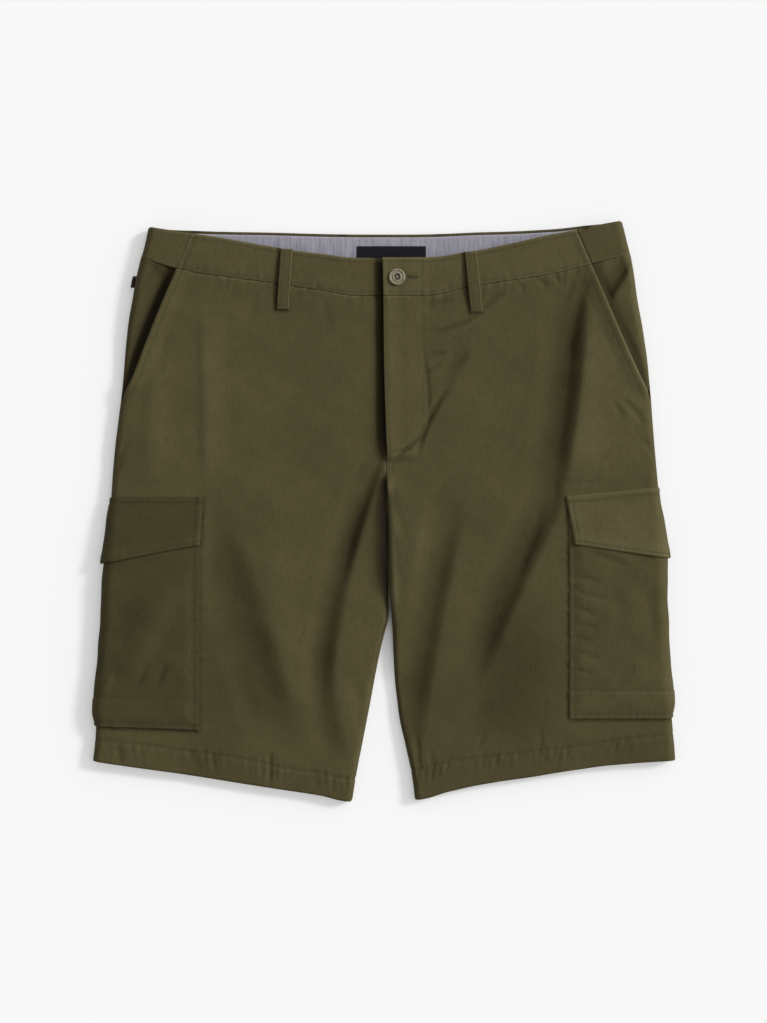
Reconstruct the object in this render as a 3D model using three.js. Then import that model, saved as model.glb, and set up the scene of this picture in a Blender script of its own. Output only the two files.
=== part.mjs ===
// Cargo shorts laid flat with the front up, in millimetres: +X runs to the wearer's left, +Y to the
// waist and +Z up. Every piece is a wall of cloth, worked out from the outline of the laid shorts,
// the height of the cloth over the table and the largest folds. "right" and "left" are the wearer's.
import * as THREE from "three";

// Thickness of the cloth and the gap kept at seams
const CLOTH = 1.2;
const BAND_CLOTH = 2.0;
const HEM_CLOTH = 2.2;
const FLY_EXTRA = 1.1;
const LINING_CLOTH = 0.8;
const LABEL_CLOTH = 0.6;
const LOOP_CLOTH = 1.4;
const SEAM = 0.3;

// Roundness of the side folds and inside legs, and the height of their outermost line
const SIDE_ROLL = 8;
const INSEAM_ROLL = 6;
const SIDE_MIDDLE = 6.5;
const INSEAM_MIDDLE = 5;
const QUARTER = Math.PI / 2;

// The seat turns into two legs between these heights on the centre seam
const SEAT_END = 44;
const LEGS_START = 4;
const SEAT_MERGE = 20;

// Cargo pockets: mouth under the flap, how far they stand off the leg, and their place underneath
const CARGO_MOUTH = -6;
const CARGO_COVER = 4;
const CARGO_FOOT_MARGIN = 16;
const CARGO_BULGE = 2.4;
const CARGO_EDGE = 5;
const CARGO_PAD = 2.0;
const FLAP_PAD = 1.8;
const FLAP_REACH = 3;
const PAD_MARGIN = 6;
const PAD_RAMP = 12;
const PAD_REACH = 26;

// Slanted front pockets: their lower end, how the edge lifts, and the facing under it
const SLANT_END = 104;
const MOUTH_LIFT = 1.2;
const MOUTH_CLOSED = 244;
const MOUTH_OPEN = 214;
const SLANT_TUCK = 3.6;
const FACING_FOOT = 97;
const FACING_UNDERLAP = 18;

// Fly lap and button
const FLY_LIFT = 3.0;
const FLY_EDGE = 20;
const FLY_STITCH = 46;
const FLY_FOOT = 46;
const BUTTON = { x: 12.3, y: 221.8, radius: 7.8, thick: 2.8 };

// Half of the button's section: shares of its radius and of its thickness, from below to above
const BUTTON_SECTION = [
  { across: 0, up: 0 },
  { across: 0.72, up: 0 },
  { across: 0.94, up: 0.25 },
  { across: 1, up: 0.6 },
  { across: 0.93, up: 0.94 },
  { across: 0.82, up: 1 },
  { across: 0.72, up: 0.82 },
  { across: 0.5, up: 0.86 },
  { across: 0.4, up: 0.9 },
  { across: 0.33, up: 0.5 },
  { across: 0, up: 0.5 },
];

// Belt loops: two in front, with the y of their upper end, and four across the back
const LOOP_WIDTH = 11.6;
const LOOP_LENGTH = 57;
const LOOP_BULGE = 1.6;
const FRONT_LOOPS = [
  { name: "right", topX: -92, footX: -96, topY: 248.6 },
  { name: "left", topX: 82, footX: 87.8, topY: 246 },
];
const BACK_LOOPS_X = [-179, -39, 52, 192];
const BACK_LOOP_INSET = 1.5;
const BACK_SEAM_MIDDLE = 227;
const SIDE_SEAM_X = 214;
const LOOPS_FOOT = 188;
const BAND_RAMP = 50;

// Inner waistband, label and side tab
const LINING = { fromX: -212, toX: 214, foot: 229, edge: 2.6 };
const LABEL = { fromX: -25.6, toX: 39.9, foot: 216, top: 252.2 };
const TAB = { y: 218, tall: 11, reach: 3.4, thick: 1.0 };

const RIGHT = { name: "right", sign: -1 };
const LEFT = { name: "left", sign: 1 };

// Side edges of the laid shorts: x of each at a height y
const SIDE_EDGES = [
  { y: 276, right: -222.6, left: 226.0 },
  { y: 254, right: -227.0, left: 231.3 },
  { y: 239, right: -231.3, left: 235.1 },
  { y: 201, right: -239.0, left: 240.8 },
  { y: 163, right: -244.6, left: 247.4 },
  { y: 125, right: -247.8, left: 252.0 },
  { y: 87, right: -252.2, left: 255.1 },
  { y: 49, right: -256.6, left: 258.2 },
  { y: 11, right: -259.3, left: 261.6 },
  { y: -27, right: -261.8, left: 265.0 },
  { y: -65, right: -264.0, left: 266.0 },
  { y: -103, right: -265.8, left: 266.6 },
  { y: -141, right: -269.4, left: 268.8 },
  { y: -179, right: -272.2, left: 272.0 },
  { y: -217, right: -274.4, left: 275.0 },
  { y: -240, right: -276.9, left: 276.9 },
];

// Inner edges of the two fronts: underlap and fly edge, centre seam, then the inside legs
const INNER_EDGES = [
  { y: 276, right: 17.0, left: -3.6 },
  { y: 204, right: 17.0, left: -0.9 },
  { y: 163, right: 17.0, left: -0.5 },
  { y: 87, right: 15.0, left: 1.4 },
  { y: 66, right: 9.0, left: 2.2 },
  { y: 58, right: 2.1, left: 2.6 },
  { y: 28, right: 2.0, left: 2.6 },
  { y: 11, right: 3.4, left: 4.0 },
  { y: -40, right: 4.8, left: 5.6 },
  { y: -95, right: 5.0, left: 7.2 },
  { y: -115, right: 0.6, left: 8.1 },
  { y: -136, right: -4.3, left: 9.0 },
  { y: -183, right: -13.3, left: 12.9 },
  { y: -222, right: -20.9, left: 20.4 },
  { y: -252, right: -26.6, left: 26.6 },
  { y: -276, right: -30.4, left: 29.8 },
];

// Slanted pocket edges, from the top of the waistband to where they meet the side edge
const SLANTS = [
  { y: 264, right: -183.0, left: 183.4 },
  { y: 233, right: -195.5, left: 196.9 },
  { y: 190, right: -213.7, left: 215.5 },
  { y: 150, right: -229.4, left: 233.0 },
  { y: 122, right: -240.4, left: 245.8 },
  { y: 104, right: -249.9, left: 253.6 },
];

// Front waistband: y of its top edge and of the seam under it
const FRONT_WAIST = [
  { x: -236, top: 271.5, seam: 243.6 },
  { x: -225, top: 270.0, seam: 239.6 },
  { x: -196, top: 265.4, seam: 230.2 },
  { x: -153, top: 259.1, seam: 222.9 },
  { x: -114, top: 252.2, seam: 217.7 },
  { x: -56, top: 243.7, seam: 209.2 },
  { x: -20, top: 240.4, seam: 204.6 },
  { x: 35, top: 240.8, seam: 204.7 },
  { x: 76, top: 245.5, seam: 212.2 },
  { x: 115, top: 252.7, seam: 218.5 },
  { x: 151, top: 260.8, seam: 223.7 },
  { x: 183, top: 267.0, seam: 231.0 },
  { x: 201, top: 271.0, seam: 235.7 },
  { x: 226, top: 275.6, seam: 242.0 },
  { x: 238, top: 277.6, seam: 245.4 },
];

// Top edge of the back waistband
const BACK_WAIST = [
  { x: -236, top: 271.5 },
  { x: -225, top: 270.0 },
  { x: -182, top: 266.9 },
  { x: -114, top: 265.3 },
  { x: 7, top: 263.3 },
  { x: 93, top: 265.5 },
  { x: 151, top: 267.8 },
  { x: 190, top: 271.6 },
  { x: 226, top: 275.6 },
  { x: 238, top: 277.6 },
];

// Hems: y of the stitched line and of the lower edge
const HEMS = [
  { x: -278, stitch: -216.2, edge: -236.5 },
  { x: -250, stitch: -219.0, edge: -240.8 },
  { x: -189, stitch: -227.5, edge: -249.4 },
  { x: -132, stitch: -235.1, edge: -258.4 },
  { x: -99, stitch: -242.7, edge: -263.5 },
  { x: -60, stitch: -248.3, edge: -269.5 },
  { x: -26, stitch: -254.0, edge: -275.4 },
  { x: 25, stitch: -246.5, edge: -274.0 },
  { x: 62, stitch: -237.6, edge: -265.6 },
  { x: 100, stitch: -232.6, edge: -257.7 },
  { x: 139, stitch: -228.0, edge: -252.0 },
  { x: 187, stitch: -222.5, edge: -244.3 },
  { x: 221, stitch: -217.3, edge: -240.2 },
  { x: 278, stitch: -210.2, edge: -236.0 },
];

// Height of the front's outer side over the table: near the side, mid-way and near the centre
const HEIGHTS = [
  { y: 276, side: 16.5, middle: 15.5, centre: 15.0 },
  { y: 240, side: 16.5, middle: 15.0, centre: 15.0 },
  { y: 200, side: 15.5, middle: 13.2, centre: 13.0 },
  { y: 100, side: 14.0, middle: 12.0, centre: 11.6 },
  { y: 0, side: 14.5, middle: 12.0, centre: 10.6 },
  { y: -100, side: 15.5, middle: 12.6, centre: 11.2 },
  { y: -200, side: 14.5, middle: 12.4, centre: 11.8 },
  { y: -276, side: 13.5, middle: 12.6, centre: 12.0 },
];
const SIDE_SWELL = 0.34;
const CENTRE_SWELL = 0.72;

// Largest folds of the front, told from their upper end: a line from one point to another, its bow,
// how far the fold reaches from the line to the wearer's right and left, and its height
const FOLDS = {
  right: [
    { fromX: -141, fromY: -18, toX: -40, toY: -232, bow: -11, right: 34, left: 16, height: -2.8 },
    { fromX: -4, fromY: 30, toX: -52, toY: -135, bow: -1, right: 20, left: 12, height: -2.6 },
    { fromX: -10, fromY: 205, toX: -8, toY: 50, bow: 0, right: 14, left: 14, height: -2.6 },
    { fromX: -166, fromY: 178, toX: -160, toY: 50, bow: 0, right: 12, left: 14, height: 1.1 },
  ],
  left: [
    { fromX: 203, fromY: 172, toX: 160, toY: 10, bow: 0, right: 40, left: 13, height: -3.0 },
    { fromX: 213, fromY: 132, toX: 186, toY: 34, bow: 0, right: 16, left: 24, height: 2.0 },
    { fromX: 161, fromY: 20, toX: 88, toY: -168, bow: 4, right: 36, left: 16, height: -2.8 },
    { fromX: 52, fromY: -86, toX: 31, toY: -208, bow: 2, right: 15, left: 13, height: -2.2 },
  ],
};
const FOLD_END = 0.22;
const CARGO_CALM = 14;

// Cargo pockets and flaps: x of the inner edges and y of the corners
const CARGO = {
  right: {
    flapX: -171.4, flapFootX: -174.5, pocketX: -175.6,
    flapTop: 13.8, flapTopSide: 13.8, flapFoot: -31.8, flapPoint: -49.9,
    foot: -207.6, footSide: -203.8,
  },
  left: {
    flapX: 172.2, flapFootX: 180.5, pocketX: 175.2,
    flapTop: 14.7, flapTopSide: 23.3, flapFoot: -31.3, flapPoint: -44.6,
    foot: -196.6, footSide: -196.2,
  },
};

// Number of cells along each stretch of the walls
const CELLS = {
  roll: 4, frontSide: 4, frontMiddle: 9, centre: 3, frontRows: 18, hem: 1,
  backPad: 3, padRamp: 1, back: 7, backRows: 16, bandRows: 2, wrap: 3,
  cargoSpan: 4, cargoRows: 5, flapTop: 2, flapRows: 3,
  facing: 4, facingRows: 8, loop: 7, loopAcross: 2, lining: 12, buttonRound: 24,
};

// The column line that passes a cargo pocket leans to this x towards the waist
const LINE_TOP_X = 140;
const LINE_LEAN_FROM = 30;
const LINE_LEAN_TO = 250;

// Shares down a cargo pocket of the rows that shape its turned-in upper and lower edge
const POCKET_UPPER_ROWS = [0, 0.01, 0.03];
const POCKET_LOWER_ROWS = [0.975, 0.99, 1];

// Rows and columns of a wall depend on each other; this many turns find their crossings
const TURNS = 6;

const MATERIALS = {
  twill: new THREE.MeshStandardMaterial({ color: 0x504a33, roughness: 0.9, metalness: 0 }),
  lining: new THREE.MeshStandardMaterial({ color: 0x88868f, roughness: 0.9, metalness: 0 }),
  label: new THREE.MeshStandardMaterial({ color: 0x232128, roughness: 0.8, metalness: 0 }),
  button: new THREE.MeshStandardMaterial({ color: 0x7d745c, roughness: 0.45, metalness: 0 }),
  tab: new THREE.MeshStandardMaterial({ color: 0x2f2418, roughness: 0.8, metalness: 0 }),
};

const mix = (from, to, share) => from + (to - from) * share;

function ease(from, to, value) {
  const share = Math.min(Math.max((value - from) / (to - from), 0), 1);
  return share * share * (3 - 2 * share);
}

// Smooth curve through the rows of a table, without overshoot, straight beyond its ends
function curve(rows, input, output) {
  const sorted = [...rows].sort((one, other) => one[input] - other[input]);
  const at = sorted.map((row) => row[input]);
  const value = sorted.map((row) => row[output]);
  const last = at.length - 1;
  const rise = at.slice(1).map((end, k) => (value[k + 1] - value[k]) / (end - at[k]));
  const slope = value.map((_, k) => {
    if (k === 0) return rise[0];
    if (k === last) return rise[last - 1];
    const product = rise[k - 1] * rise[k];
    return product > 0 ? (2 * product) / (rise[k - 1] + rise[k]) : 0;
  });
  return (place) => {
    if (place <= at[0]) return value[0] + slope[0] * (place - at[0]);
    if (place >= at[last]) return value[last] + slope[last] * (place - at[last]);
    const k = at.findIndex((end) => end > place) - 1;
    const span = at[k + 1] - at[k];
    const s = (place - at[k]) / span;
    const start = value[k] + s * span * slope[k];
    const end = value[k + 1] - (1 - s) * span * slope[k + 1];
    return mix(start, end, s * s * (3 - 2 * s));
  };
}

const sideEdge = { right: curve(SIDE_EDGES, "y", "right"), left: curve(SIDE_EDGES, "y", "left") };
const innerEdge = { right: curve(INNER_EDGES, "y", "right"), left: curve(INNER_EDGES, "y", "left") };
const slant = { right: curve(SLANTS, "y", "right"), left: curve(SLANTS, "y", "left") };
const bandTop = curve(FRONT_WAIST, "x", "top");
const waistSeam = curve(FRONT_WAIST, "x", "seam");
const backTop = curve(BACK_WAIST, "x", "top");
const hemStitch = curve(HEMS, "x", "stitch");
const hemEdge = curve(HEMS, "x", "edge");
const sideHeight = curve(HEIGHTS, "y", "side");
const middleHeight = curve(HEIGHTS, "y", "middle");
const centreHeight = curve(HEIGHTS, "y", "centre");

// The back seam of the waistband dips from the side seams to the middle of the back
function backSeam(x) {
  const side = x < 0 ? RIGHT : LEFT;
  const sideX = sideEdge[side.name](waistSeam(side.sign * SIDE_SEAM_X));
  const share = x / sideX;
  return mix(BACK_SEAM_MIDDLE, waistSeam(sideX), share * share);
}

// How far a point lies inside the stretch of leg that a cargo pocket covers
function cargoSpan(side, x) {
  const border = Math.abs(CARGO[side.name].pocketX) - PAD_MARGIN;
  return ease(border - PAD_RAMP, border, Math.abs(x));
}

function foldHeight(fold, x, y) {
  const runX = fold.toX - fold.fromX;
  const runY = fold.toY - fold.fromY;
  const length = Math.hypot(runX, runY);
  const along = ((x - fold.fromX) * runX + (y - fold.fromY) * runY) / (length * length);
  if (along <= 0 || along >= 1) return 0;
  const bow = fold.bow * 4 * along * (1 - along);
  const off = ((y - fold.fromY) * runX - (x - fold.fromX) * runY) / length - bow;
  const reach = off < 0 ? fold.right : fold.left;
  if (Math.abs(off) >= reach) return 0;
  const ends = ease(0, FOLD_END, along) * ease(1, 1 - FOLD_END, along);
  return fold.height * ends * Math.cos((QUARTER * off) / reach) ** 2;
}

// Height of the front's outer side: soft swells at side and centre, with the folds between pockets
function frontHeight(side, x, y) {
  const outer = sideEdge[side.name](y);
  const share = Math.abs(outer - x) / Math.abs(outer);
  const swell = mix(sideHeight(y), middleHeight(y), ease(0, SIDE_SWELL, share));
  const base = mix(swell, centreHeight(y), ease(CENTRE_SWELL, 1, share));
  const border = Math.abs(CARGO[side.name].pocketX);
  const besideCargo = ease(border, border - CARGO_CALM, Math.abs(x));
  const calm = y > CARGO[side.name].flapTop + CARGO_CALM ? 1 : besideCargo;
  return FOLDS[side.name].reduce((height, fold) => height + calm * foldHeight(fold, x, y), base);
}

function pocketCover(side, y) {
  const { foot, footSide, flapTop } = CARGO[side.name];
  const lowest = Math.min(foot, footSide) - CARGO_FOOT_MARGIN;
  const highest = flapTop + PAD_REACH;
  return ease(highest + PAD_RAMP, highest, y) * ease(lowest - PAD_RAMP, lowest, y);
}

function flapCover(side, y) {
  const { flapTop, flapTopSide, flapPoint } = CARGO[side.name];
  const highest = Math.max(flapTop, flapTopSide) + PAD_REACH;
  const lowest = flapPoint - PAD_REACH;
  return ease(highest + PAD_RAMP, highest, y) * ease(lowest - PAD_RAMP, lowest, y);
}

// Height of the back's outer side: it rests on the table, lifted by what lies under it
function backHeight(side, x, y) {
  const loops = (LOOP_CLOTH + SEAM) * ease(LOOPS_FOOT - BAND_RAMP, LOOPS_FOOT, y);
  const cargo = CARGO_PAD * pocketCover(side, y) + FLAP_PAD * flapCover(side, y);
  return loops + cargo * cargoSpan(side, x);
}

// One half of the shorts at a height y: its edges and the length of cloth across it
function section(side, face, y) {
  const legs = ease(SEAT_END, LEGS_START, y);
  const seatBack = ease(SEAT_END, SEAT_END + SEAT_MERGE, y);
  const front = innerEdge[side.name](y);
  const inner = face === "front" ? front : mix(front, 0, seatBack);
  const outer = sideEdge[side.name](y);
  const width = Math.abs(outer - inner);
  const inseamRoll = INSEAM_ROLL * legs;
  const girth = width + (SIDE_ROLL + inseamRoll) * (QUARTER - 1);
  return { legs, outer, width, inseamRoll, girth };
}

// Distance along the cloth from the side edge, for a distance seen from above
function clothLength(distance) {
  const seen = Math.max(distance, 0);
  if (seen >= SIDE_ROLL) return SIDE_ROLL * QUARTER + seen - SIDE_ROLL;
  return SIDE_ROLL * Math.acos(1 - seen / SIDE_ROLL);
}

// Point of the outer side of the shorts, with its outward normal. "along" is measured on the cloth
// from the side edge; the cloth turns over there, and again at the inside leg.
function skin(side, face, along, y) {
  const { legs, outer, width, inseamRoll, girth } = section(side, face, y);
  const up = face === "front" ? 1 : -1;
  const left = girth - along;
  const sideTurn = Math.min(along / SIDE_ROLL, QUARTER);
  const inseamTurn = left < inseamRoll * QUARTER ? left / inseamRoll : QUARTER;
  let seen = SIDE_ROLL + along - SIDE_ROLL * QUARTER;
  if (sideTurn < QUARTER) seen = SIDE_ROLL * (1 - Math.cos(sideTurn));
  if (inseamTurn < QUARTER) seen = width - inseamRoll * (1 - Math.cos(inseamTurn));
  const x = outer - side.sign * seen;
  const height = face === "front" ? frontHeight : backHeight;
  const lid = height(side, x, y);
  const middle = mix(SIDE_MIDDLE, INSEAM_MIDDLE, Math.min(seen / width, 1));
  const share = Math.sin(sideTurn) * mix(1, Math.sin(inseamTurn), legs);
  const point = new THREE.Vector3(x, y, mix(middle, lid, share));
  const step = 1;
  const slopeX = (height(side, x + step, y) - height(side, x - step, y)) / (2 * step);
  const slopeY = (height(side, x, y + step) - height(side, x, y - step)) / (2 * step);
  const sideTilt = QUARTER - sideTurn;
  const inseamTilt = legs * (QUARTER - inseamTurn);
  const level = Math.cos(sideTilt) * Math.cos(inseamTilt);
  const outwards = side.sign * (Math.sin(sideTilt) - Math.sin(inseamTilt));
  const normal = new THREE.Vector3(outwards - up * slopeX * level, -up * slopeY * level, up * level);
  return { point, normal: normal.normalize() };
}

function skinAt(side, face, x, y) {
  const along = clothLength(Math.abs(sideEdge[side.name](y) - x));
  return skin(side, face, along, y);
}

// Node of a wall: a skin point moved out by "out" and the wall's thickness there
function node({ point, normal }, out, cloth) {
  return { point: point.clone().addScaledVector(normal, out), normal, cloth };
}

// Closed wall from rows of nodes: outer side, inner side and the rims between them
function wall(name, material, rows) {
  const columns = rows[0].length;
  const count = rows.length * columns;
  const positions = [];
  rows.flat().forEach(({ point }) => positions.push(point.x, point.y, point.z));
  rows.flat().forEach(({ point, normal, cloth }) => {
    const inside = point.clone().addScaledVector(normal, -cloth);
    positions.push(inside.x, inside.y, inside.z);
  });
  const faces = [];
  const quad = (a, b, c, d) => faces.push(a, b, c, a, c, d);
  const at = (i, j) => i * columns + j;
  for (let i = 0; i < rows.length - 1; i += 1) {
    for (let j = 0; j < columns - 1; j += 1) {
      const [a, b, c, d] = [at(i, j), at(i, j + 1), at(i + 1, j + 1), at(i + 1, j)];
      quad(a, b, c, d);
      quad(d + count, c + count, b + count, a + count);
    }
  }
  const rim = [];
  for (let j = 0; j < columns - 1; j += 1) rim.push(at(0, j));
  for (let i = 0; i < rows.length - 1; i += 1) rim.push(at(i, columns - 1));
  for (let j = columns - 1; j > 0; j -= 1) rim.push(at(rows.length - 1, j));
  for (let i = rows.length - 1; i > 0; i -= 1) rim.push(at(i, 0));
  rim.forEach((from, k) => {
    const to = rim[(k + 1) % rim.length];
    quad(to, from, from + count, to + count);
  });
  return solid(name, material, positions, faces);
}

// Mesh with its faces turned outwards
function solid(name, material, positions, faces) {
  const corner = (k) => new THREE.Vector3().fromArray(positions, 3 * k);
  let volume = 0;
  for (let k = 0; k < faces.length; k += 3) {
    const [a, b, c] = [corner(faces[k]), corner(faces[k + 1]), corner(faces[k + 2])];
    volume += a.dot(b.cross(c));
  }
  const index = volume > 0 ? faces : [...faces].reverse();
  const geometry = new THREE.BufferGeometry();
  geometry.setAttribute("position", new THREE.Float32BufferAttribute(positions, 3));
  geometry.setIndex(index);
  geometry.computeVertexNormals();
  const mesh = new THREE.Mesh(geometry, material);
  mesh.name = name;
  return mesh;
}

// Values from one end to the other in equal steps, both ends included
function steps(from, to, cells) {
  return Array.from({ length: cells + 1 }, (_, k) => mix(from, to, k / cells));
}

// Joined stretches of equal steps: stops are the ends of the stretches, counts their cells
function stretches(stops, counts) {
  const parts = counts.map((cells, k) => steps(stops[k], stops[k + 1], cells).slice(1));
  return [stops[0], ...parts.flat()];
}

const ROLL_LENGTH = SIDE_ROLL * QUARTER;

function slantStart(side, y) {
  if (y <= SLANT_END) return 0;
  const seen = Math.abs(sideEdge[side.name](y)) - Math.abs(slant[side.name](y));
  return clothLength(seen);
}

// Columns of a front at a height y, from the side edge or slanted pocket to the centre
function frontColumns(side, y) {
  const { outer, inseamRoll, girth } = section(side, "front", y);
  const start = Math.max(slantStart(side, y), SEAM / 2);
  const lean = ease(LINE_LEAN_FROM, LINE_LEAN_TO, y);
  const cargoX = mix(Math.abs(CARGO[side.name].pocketX), LINE_TOP_X, lean);
  const cargo = clothLength(Math.abs(outer) - cargoX);
  const end = girth - SEAM / 2;
  const centre = end - Math.max(inseamRoll * QUARTER, SIDE_ROLL);
  const stops = [start, start + ROLL_LENGTH, cargo, centre, end];
  return stretches(stops, [CELLS.roll, CELLS.frontSide, CELLS.frontMiddle, CELLS.centre]);
}

function backColumns(side, y) {
  const { outer, inseamRoll, girth } = section(side, "back", y);
  const cargoX = Math.abs(CARGO[side.name].pocketX) - PAD_MARGIN;
  const border = clothLength(Math.abs(outer) - cargoX);
  const end = girth - SEAM / 2;
  const centre = end - Math.max(inseamRoll * QUARTER, SIDE_ROLL);
  const stops = [SEAM / 2, ROLL_LENGTH, border, border + PAD_RAMP, centre, end];
  return stretches(stops, [CELLS.roll, CELLS.backPad, CELLS.padRamp, CELLS.back, CELLS.centre]);
}

// Nodes of a wall whose columns depend on y and whose rows depend on x, found by repeating
function lattice(side, face, columnsAt, rowsAt, out, cloth) {
  const start = rowsAt(0);
  return start.map((first, i) => columnsAt(first).map((_, j) => {
    let y = first;
    let along = 0;
    for (let round = 0; round < TURNS; round += 1) {
      along = columnsAt(y)[j];
      y = rowsAt(skin(side, face, along, y).point.x)[i];
    }
    const spot = skin(side, face, along, y);
    return node(spot, out(spot.point.x, y, along), cloth(spot.point.x, y, i));
  }));
}

// The lap of the fly: 1 on the lap, 0 beyond its stitching
function flyLap(side, x, y) {
  if (side === RIGHT) return 0;
  return ease(FLY_STITCH, FLY_EDGE, x) * ease(FLY_FOOT, FLY_FOOT + SIDE_ROLL, y);
}

// The edge of a slanted pocket stands off the facing under it
function mouthLift(side, y, along) {
  if (y < SLANT_END) return 0;
  const gape = ease(SLANT_END, SLANT_END + FACING_UNDERLAP, y)
    * ease(MOUTH_CLOSED, MOUTH_OPEN, y);
  return MOUTH_LIFT * gape * ease(FACING_UNDERLAP, 0, along - slantStart(side, y));
}

function front(side) {
  const rowsAt = (x) => [
    ...steps(waistSeam(x) - SEAM / 2, hemStitch(x) + SEAM, CELLS.frontRows),
    ...steps(hemStitch(x) - SEAM, hemEdge(x), CELLS.hem),
  ];
  const out = (x, y, along) => FLY_LIFT * flyLap(side, x, y) + mouthLift(side, y, along);
  const cloth = (x, y, row) => {
    if (row > CELLS.frontRows) return HEM_CLOTH;
    return CLOTH + FLY_EXTRA * flyLap(side, x, y);
  };
  const rows = lattice(side, "front", (y) => frontColumns(side, y), rowsAt, out, cloth);
  return wall(`front_${side.name}`, MATERIALS.twill, rows);
}

function back(side) {
  const rowsAt = (x) => [
    ...steps(backSeam(x) - SEAM, hemStitch(x) + SEAM, CELLS.backRows),
    ...steps(hemStitch(x) - SEAM, hemEdge(x) - SEAM, CELLS.hem),
  ];
  const cloth = (x, y, row) => (row > CELLS.backRows ? HEM_CLOTH : CLOTH);
  const rows = lattice(side, "back", (y) => backColumns(side, y), rowsAt, () => 0, cloth);
  return wall(`back_${side.name}`, MATERIALS.twill, rows);
}

function pocketFacing(side) {
  const columnsAt = (y) => stretches(
    [SEAM / 2, ROLL_LENGTH, Math.max(slantStart(side, y), 0) + FACING_UNDERLAP],
    [CELLS.roll, CELLS.facing],
  );
  const rowsAt = (x) => steps(waistSeam(x) - 2 * SEAM, FACING_FOOT, CELLS.facingRows);
  const out = (x, y, along) => {
    const mouth = slantStart(side, y);
    const open = ease(SIDE_ROLL / 2, ROLL_LENGTH, mouth);
    const under = ease(0, Math.max(mouth - HEM_CLOTH, CLOTH), along);
    return -mix(SLANT_TUCK, (CLOTH + SEAM) * under, open);
  };
  const rows = lattice(side, "front", columnsAt, rowsAt, out, () => CLOTH);
  return wall(`pocket_facing_${side.name}`, MATERIALS.twill, rows);
}

function frontBand(side) {
  const rowsAt = (x) => steps(waistSeam(x) + SEAM / 2, bandTop(x), CELLS.bandRows);
  const columnsAt = (y) => {
    const columns = frontColumns(side, y);
    columns[0] += SEAM;
    return columns;
  };
  const out = (x, y) => FLY_LIFT * flyLap(side, x, y);
  const rows = lattice(side, "front", columnsAt, rowsAt, out, () => BAND_CLOTH);
  return wall(`waistband_front_${side.name}`, MATERIALS.twill, rows);
}

// The back waistband starts on the front, at a slanted pocket, and turns round both sides
function backBand() {
  const frontRows = (x) => steps(waistSeam(x) + SEAM / 2, bandTop(x), CELLS.bandRows);
  const backRows = (x) => steps(backSeam(x) + SEAM / 2, backTop(x), CELLS.bandRows);
  const halves = [RIGHT, LEFT].map((side) => {
    const wrapColumns = (y) => stretches(
      [0, ROLL_LENGTH, slantStart(side, y)],
      [CELLS.roll, CELLS.wrap],
    ).reverse();
    const under = (y) => backColumns(side, y).slice(1, -1);
    const over = lattice(side, "front", wrapColumns, frontRows, () => 0, () => BAND_CLOTH);
    const below = lattice(side, "back", under, backRows, () => 0, () => BAND_CLOTH);
    return over.map((row, i) => [...row, ...below[i]]);
  });
  const rows = halves[0].map((row, i) => [...row, ...[...halves[1][i]].reverse()]);
  return wall("waistband_back", MATERIALS.twill, rows);
}

// Flat pieces on the inside of the back waistband, made from its points
function insideBack(name, material, place, top, depth, cloth) {
  const columns = steps(place.fromX, place.toX, CELLS.lining);
  const rows = steps(0, 1, CELLS.bandRows).map((share) => columns.map((x) => {
    const side = x < 0 ? RIGHT : LEFT;
    return node(skinAt(side, "back", x, mix(place.foot, top(x), share)), -depth, cloth);
  }));
  return wall(name, material, rows);
}

// Round the leg: distance "along" from the side edge, in front when positive, underneath if not
function ringSkin(side, along, y) {
  return skin(side, along >= 0 ? "front" : "back", Math.abs(along), y);
}

function ringColumns(side, y, borderX) {
  const border = clothLength(Math.abs(sideEdge[side.name](y) - borderX));
  const inset = [0, CARGO_EDGE / 3, CARGO_EDGE].map((edge) => border - edge);
  const half = [
    ...inset,
    ...stretches([border - CARGO_EDGE, ROLL_LENGTH, 0], [CELLS.cargoSpan, CELLS.roll]).slice(1),
  ];
  return [...half, ...half.slice(0, -1).reverse().map((along) => -along)];
}

// How far the outer side of a cargo pocket stands off the leg
function pocketStand(side, along, y, border) {
  const { foot, footSide } = CARGO[side.name];
  const lowest = mix(footSide, foot, Math.min(Math.abs(along) / border, 1));
  const fromMouth = CARGO_MOUTH + CARGO_COVER + CARGO_EDGE - y;
  const fromEdge = Math.min(border - Math.abs(along), y - lowest, fromMouth);
  const bulge = CARGO_BULGE * ease(0, CARGO_EDGE, fromEdge);
  const beneath = ease(0, -ROLL_LENGTH, along);
  const mouth = ease(CARGO_MOUTH + PAD_RAMP, CARGO_MOUTH + CARGO_COVER, y);
  return mix(CLOTH + SEAM + bulge, CARGO_PAD, beneath) * mouth;
}

function cargoPocket(side) {
  const { pocketX, foot, footSide } = CARGO[side.name];
  const [upper, lower] = [POCKET_UPPER_ROWS.at(-1), POCKET_LOWER_ROWS[0]];
  const middle = steps(upper, lower, CELLS.cargoRows).slice(1, -1);
  const shares = [...POCKET_UPPER_ROWS, ...middle, ...POCKET_LOWER_ROWS];
  const rows = shares.map((share) => {
    const middleY = mix(CARGO_MOUTH, foot, share);
    const border = ringColumns(side, middleY, pocketX)[0];
    return ringColumns(side, middleY, pocketX).map((along) => {
      const lowest = mix(footSide, foot, Math.abs(along) / border);
      const y = mix(CARGO_MOUTH, lowest, share);
      return node(ringSkin(side, along, y), pocketStand(side, along, y, border), CLOTH);
    });
  });
  return wall(`cargo_pocket_${side.name}`, MATERIALS.twill, rows);
}

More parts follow.
